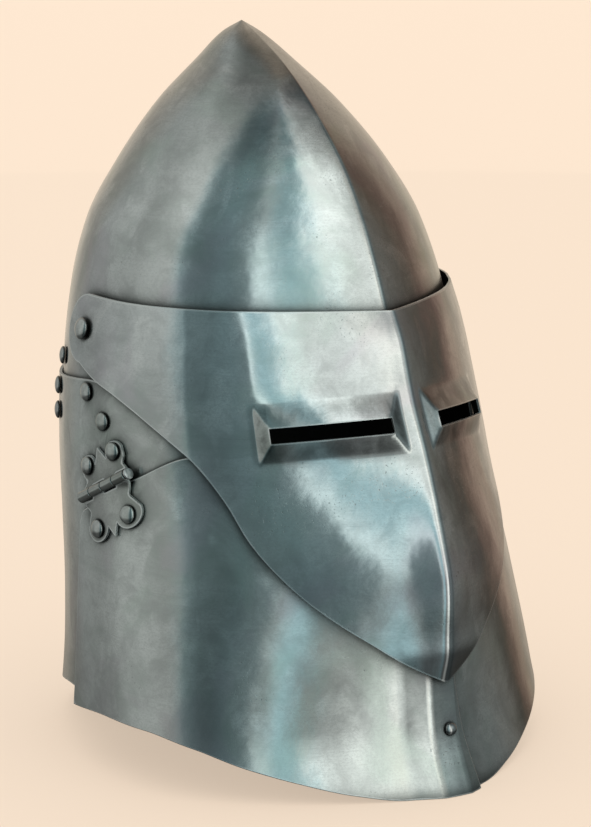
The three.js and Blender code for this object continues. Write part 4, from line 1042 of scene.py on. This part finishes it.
def make_side(label, side):
    bodies = {"upper": "helm", "lower": f"cheek_{label}"}
    for leaf, up, depth, lift in LEAVES:
        make_leaf(f"hinge_{leaf}_leaf_{label}", side, up, depth, lift, bodies[leaf])
    make_pin(f"hinge_pin_{label}", side)
    for leaf, up, depth, lift in LEAVES:
        for end, along in (("back", -LOBE_SPACING / 2), ("front", LOBE_SPACING / 2)):
            spot = hinge_place(along, up * depth * RIVET_AWAY)
            dome(f"hinge_rivet_{leaf}_{end}_{label}",
                 *seat_on(Section, side, *spot, lift + LEAF_PLATE),
                 RIVET_RADIUS, RIVET_DOME, SEAT, bodies[leaf])
    dome(f"visor_pivot_{label}", *pivot_seat(side), PIVOT_HEAD_RADIUS, PIVOT_HEAD_DOME,
         PIVOT_SEAT, "helm")
    for name, place, outward in side_rivet_seats(side):
        dome(f"rivet_{name}_{label}", place, outward, RIVET_RADIUS, RIVET_DOME, SEAT, "helm")


# stud, on the blunt keel of the right cheek plate
SOLID_ROWS = 8  # the solid's rows from the floor up to the plate's top


def keel_face(girth, rise, height):
    depth_at = depth_on_skull(lambda h: girth)
    row_height = height_on_edge(cheek_top, depth_at, CHEEK_CORNER) / SOLID_ROWS
    row = int(height / row_height)
    ends = [point(Section(h), -1, girth, h, CHEEK_INNER + PLATE + LAP_LIFT * rise)
            for h in (row_height * row, row_height * (row + 1))]
    return ends[0].lerp(ends[1], (height - ends[0].z) / (ends[1].z - ends[0].z))


def make_stud():
    rise = (LAP_RISE - LAP_BLUNT) / (LAP_RISE + LAP_BLUNT)
    right, left = keel_face(LAP_BLUNT, rise, STUD_HEIGHT), keel_face(-LAP_BLUNT, 1, STUD_HEIGHT)
    below = keel_face(LAP_BLUNT, rise, STUD_HEIGHT - STUD_RADIUS)
    outward = (below - right).cross(left - right).normalized()
    dome("closure_stud", right.lerp(left, STUD_SHARE), outward, STUD_RADIUS, STUD_DOME, SEAT * 2,
         "cheek_right")


# where the plates are darker, round the hinges, the rivets and the pivots, and where painted shadow
# lies, under the visor's edges
HINGE_SPOTS = [(along, share) for along in (-15, -10, -5, 0, 5, 10, 15)
               for share in (0, 0.2, 0.4, 0.6, 0.75)]
LINE_STEPS = 160


def spots():
    places = []
    for side in (-1, 1):
        for _, up, depth, lift in LEAVES:
            places += [hinge_vector(side, along, up * depth * share, lift)
                       for along, share in HINGE_SPOTS]
        places += [place for _, place, _ in side_rivet_seats(side)]
        places.append(pivot_seat(side)[0])
    return places


def visor_line():
    places = []
    for side in (-1, 1):
        for t in steps(LINE_STEPS):
            depth = PIVOT_DEPTH - ARM_RADIUS + (VISOR_REACH + ARM_RADIUS) * t
            for edge in (visor_top, visor_bottom):
                height = edge(depth)
                section = visor_section(height)
                if depth < section.nose:
                    girth = girth_at(section, depth)
                    places.append(point(section, side, girth, height, visor_inner(height)))
    return places


SPOTS, VISOR_LINE = tree_of(spots()), tree_of(visor_line())
make_skull()
make_back_plate()
make_cheek("cheek_plate_right", -1)
make_cheek("cheek_plate_left", 1)
make_visor()
make_side("right", -1)
make_side("left", 1)
make_stud()


# stage
FLOOR_HALF, FLOOR_DROP, FLOOR_TONE, FLOOR_GLOW = 20, 0.0002, 0.3, 0.58


def stage_object(name, verts, faces, material):
    mesh = bpy.data.meshes.new(name)
    mesh.from_pydata(verts, [], faces)
    obj = bpy.data.objects.new(name, mesh)
    scene.collection.objects.link(obj)
    obj.data.materials.append(material)
    return obj


def linear(value):
    value /= 255
    return value / 12.92 if value <= 0.04045 else ((value + 0.055) / 1.055) ** 2.4


PEACH = tuple(linear(v) for v in (254, 232, 209))
pale = bpy.data.materials.new("floor_pale")
pale.use_nodes = True
finish = pale.node_tree.nodes["Principled BSDF"].inputs
finish["Base Color"].default_value = (FLOOR_TONE, FLOOR_TONE, FLOOR_TONE, 1)
finish["Roughness"].default_value = 0.9
finish["Emission Color"].default_value = (*PEACH, 1)
finish["Emission Strength"].default_value = FLOOR_GLOW
corners = [(x * FLOOR_HALF, y * FLOOR_HALF, -FLOOR_DROP)
           for x, y in ((-1, -1), (1, -1), (1, 1), (-1, 1))]
floor = stage_object("floor", corners, [[0, 1, 2, 3]], pale)
floor.visible_glossy = False

# A closed ring of soft light round the helm, seen only in its polish. Each row has the azimuth in
# degrees, from straight ahead of the face towards the wearer's left, the brightness of the ring's
# low, middle and high part, and its warmth, from teal below 0 to tan above it.
RING = [
    (-210, 180, 150, 130, 1.0), (-190, 160, 142, 120, 0.7), (-172, 128, 128, 120, 0.3),
    (-157, 132, 142, 134, 0), (-145, 124, 150, 140, 0), (-125, 148, 140, 148, 0),
    (-106, 146, 154, 163, 0), (-90, 136, 160, 172, 0), (-84, 134, 162, 166, -0.3),
    (-78, 108, 132, 128, -1), (-72, 92, 104, 110, -1.2), (-63, 76, 100, 110, -1.3),
    (-55, 84, 108, 118, -1.4), (-49, 98, 112, 116, -1.2), (-44, 106, 124, 122, -1),
    (-40, 132, 228, 162, -0.5), (-35, 172, 190, 160, -1.0), (-31, 178, 176, 150, -1.4),
    (-27, 150, 190, 184, -1.1), (-23, 134, 240, 248, -0.2), (-17, 140, 208, 250, 0),
    (-11, 205, 224, 190, 0), (-5, 240, 238, 160, 0.2), (1, 242, 178, 150, 0),
    (7, 166, 172, 145, 0), (20, 100, 165, 110, -0.5), (45, 100, 110, 96, -0.6),
    (68, 84, 90, 94, -0.5), (80, 98, 92, 92, 0), (88, 92, 90, 92, 0.4), (94, 66, 82, 90, 0.8),
    (100, 84, 72, 80, 2.0), (106, 122, 96, 92, 1.6), (115, 138, 126, 116, 1),
    (126, 164, 145, 134, 1), (150, 160, 158, 140, 1),
]
RING_RADIUS, RING_GAIN, RING_TURNS, RING_HEIGHT = 2.6, 1.35, 240, 0.2
# elevation of each row of the ring, how much of low, middle and high it takes, and its brightness
RING_ROWS = [
    (-90, 1, 0, 0, 0.5), (-50, 1, 0, 0, 0.5), (-24, 1, 0, 0, 0.55), (-13, 1, 0, 0, 1),
    (0, 1, 0, 0, 1), (12, 0.35, 0.65, 0, 1), (20, 0, 1, 0, 1), (34, 0, 1, 0, 1), (46, 0, 0, 1, 1),
    (60, 0, 0, 1, 1), (76, 0, 0, 1, 0.7), (90, 0, 0, 1, 0.7),
]
# red and blue of the neutral light, and how far one step of cool or warm moves them
NEUTRAL_RED, COOL_RED, WARM_RED = 0.97, 0.1, 0.11
NEUTRAL_BLUE, COOL_BLUE, WARM_BLUE, WARM_BLUE_LIMIT = 0.98, 0.032, 0.08, 1.2


def ring_color(tone, warmth):
    cool, warm = clamp(-warmth, 0, 2), clamp(warmth, 0, 2)
    red = NEUTRAL_RED - COOL_RED * cool + WARM_RED * warm
    blue = NEUTRAL_BLUE + COOL_BLUE * cool - WARM_BLUE * min(warm, WARM_BLUE_LIMIT)
    return (*(linear(tone * k) * RING_GAIN for k in (red, 1, blue)), 1)


def light_ring():
    tables = [smooth_table(RING, column) for column in (1, 2, 3, 4)]
    first, last = RING[0][0], RING[-1][0]
    verts, colors = [], []
    for elevation, *shares, brightness in RING_ROWS:
        tilt = math.radians(elevation)
        flat, height = RING_RADIUS * math.cos(tilt), RING_RADIUS * math.sin(tilt) + RING_HEIGHT
        for turn in range(RING_TURNS):
            azimuth = first + (last - first) * turn / RING_TURNS
            angle = math.radians(azimuth)
            *tones, warmth = (table(azimuth) for table in tables)
            tone = sum(share * t for share, t in zip(shares, tones)) * brightness
            verts.append((math.sin(angle) * flat, -math.cos(angle) * flat, height))
            colors.append(ring_color(tone, warmth))
    faces = []
    for row in range(len(RING_ROWS) - 1):
        for turn in range(RING_TURNS):
            a, b = row * RING_TURNS + turn, row * RING_TURNS + (turn + 1) % RING_TURNS
            faces.append([a, b, b + RING_TURNS, a + RING_TURNS])
    material = bpy.data.materials.new("ring_light")
    material.use_nodes = True
    tree = material.node_tree
    tree.nodes.clear()
    out, glow = tree.nodes.new("ShaderNodeOutputMaterial"), tree.nodes.new("ShaderNodeEmission")
    tint = tree.nodes.new("ShaderNodeVertexColor")
    tint.layer_name = "glow"
    tree.links.new(tint.outputs["Color"], glow.inputs["Color"])
    tree.links.new(glow.outputs["Emission"], out.inputs["Surface"])
    ring = stage_object("light_ring", verts, faces, material)
    layer = ring.data.color_attributes.new("glow", "FLOAT_COLOR", "POINT")
    for item, color in zip(layer.data, colors):
        item.color = color
    ring.visible_camera = ring.visible_diffuse = ring.visible_shadow = False


light_ring()

world = bpy.data.worlds.new("studio")
scene.world = world
world.use_nodes = True
world.node_tree.nodes["Background"].inputs["Color"].default_value = (*PEACH, 1)
world.node_tree.nodes["Background"].inputs["Strength"].default_value = 1.0

sun = bpy.data.objects.new("overhead", bpy.data.lights.new("overhead", "SUN"))
scene.collection.objects.link(sun)
sun.data.energy = math.pi * 0.25
sun.data.color = PEACH
sun.data.angle = math.radians(70)
sun.visible_glossy = False

# camera, at the photograph's angle
TARGET = Vector((0, 0.0002, 0.1691))
AZIMUTH, ELEVATION, DISTANCE = math.radians(-35), math.radians(12), 1.35
SENSOR_HEIGHT, FOCAL_PIXELS, PHOTO_HEIGHT, CLIP_END = 24, 2565, 827, 60
away = Vector((math.sin(AZIMUTH) * math.cos(ELEVATION), -math.cos(AZIMUTH) * math.cos(ELEVATION),
               math.sin(ELEVATION)))
camera = bpy.data.objects.new("camera", bpy.data.cameras.new("camera"))
scene.collection.objects.link(camera)
camera.location = TARGET + away * DISTANCE
camera.rotation_euler = (-away).to_track_quat("-Z", "Y").to_euler()
camera.data.sensor_fit = "VERTICAL"
camera.data.sensor_height = SENSOR_HEIGHT
camera.data.lens = SENSOR_HEIGHT * FOCAL_PIXELS / PHOTO_HEIGHT
camera.data.clip_end = CLIP_END
scene.camera = camera
scene.view_settings.view_transform = "Standard"
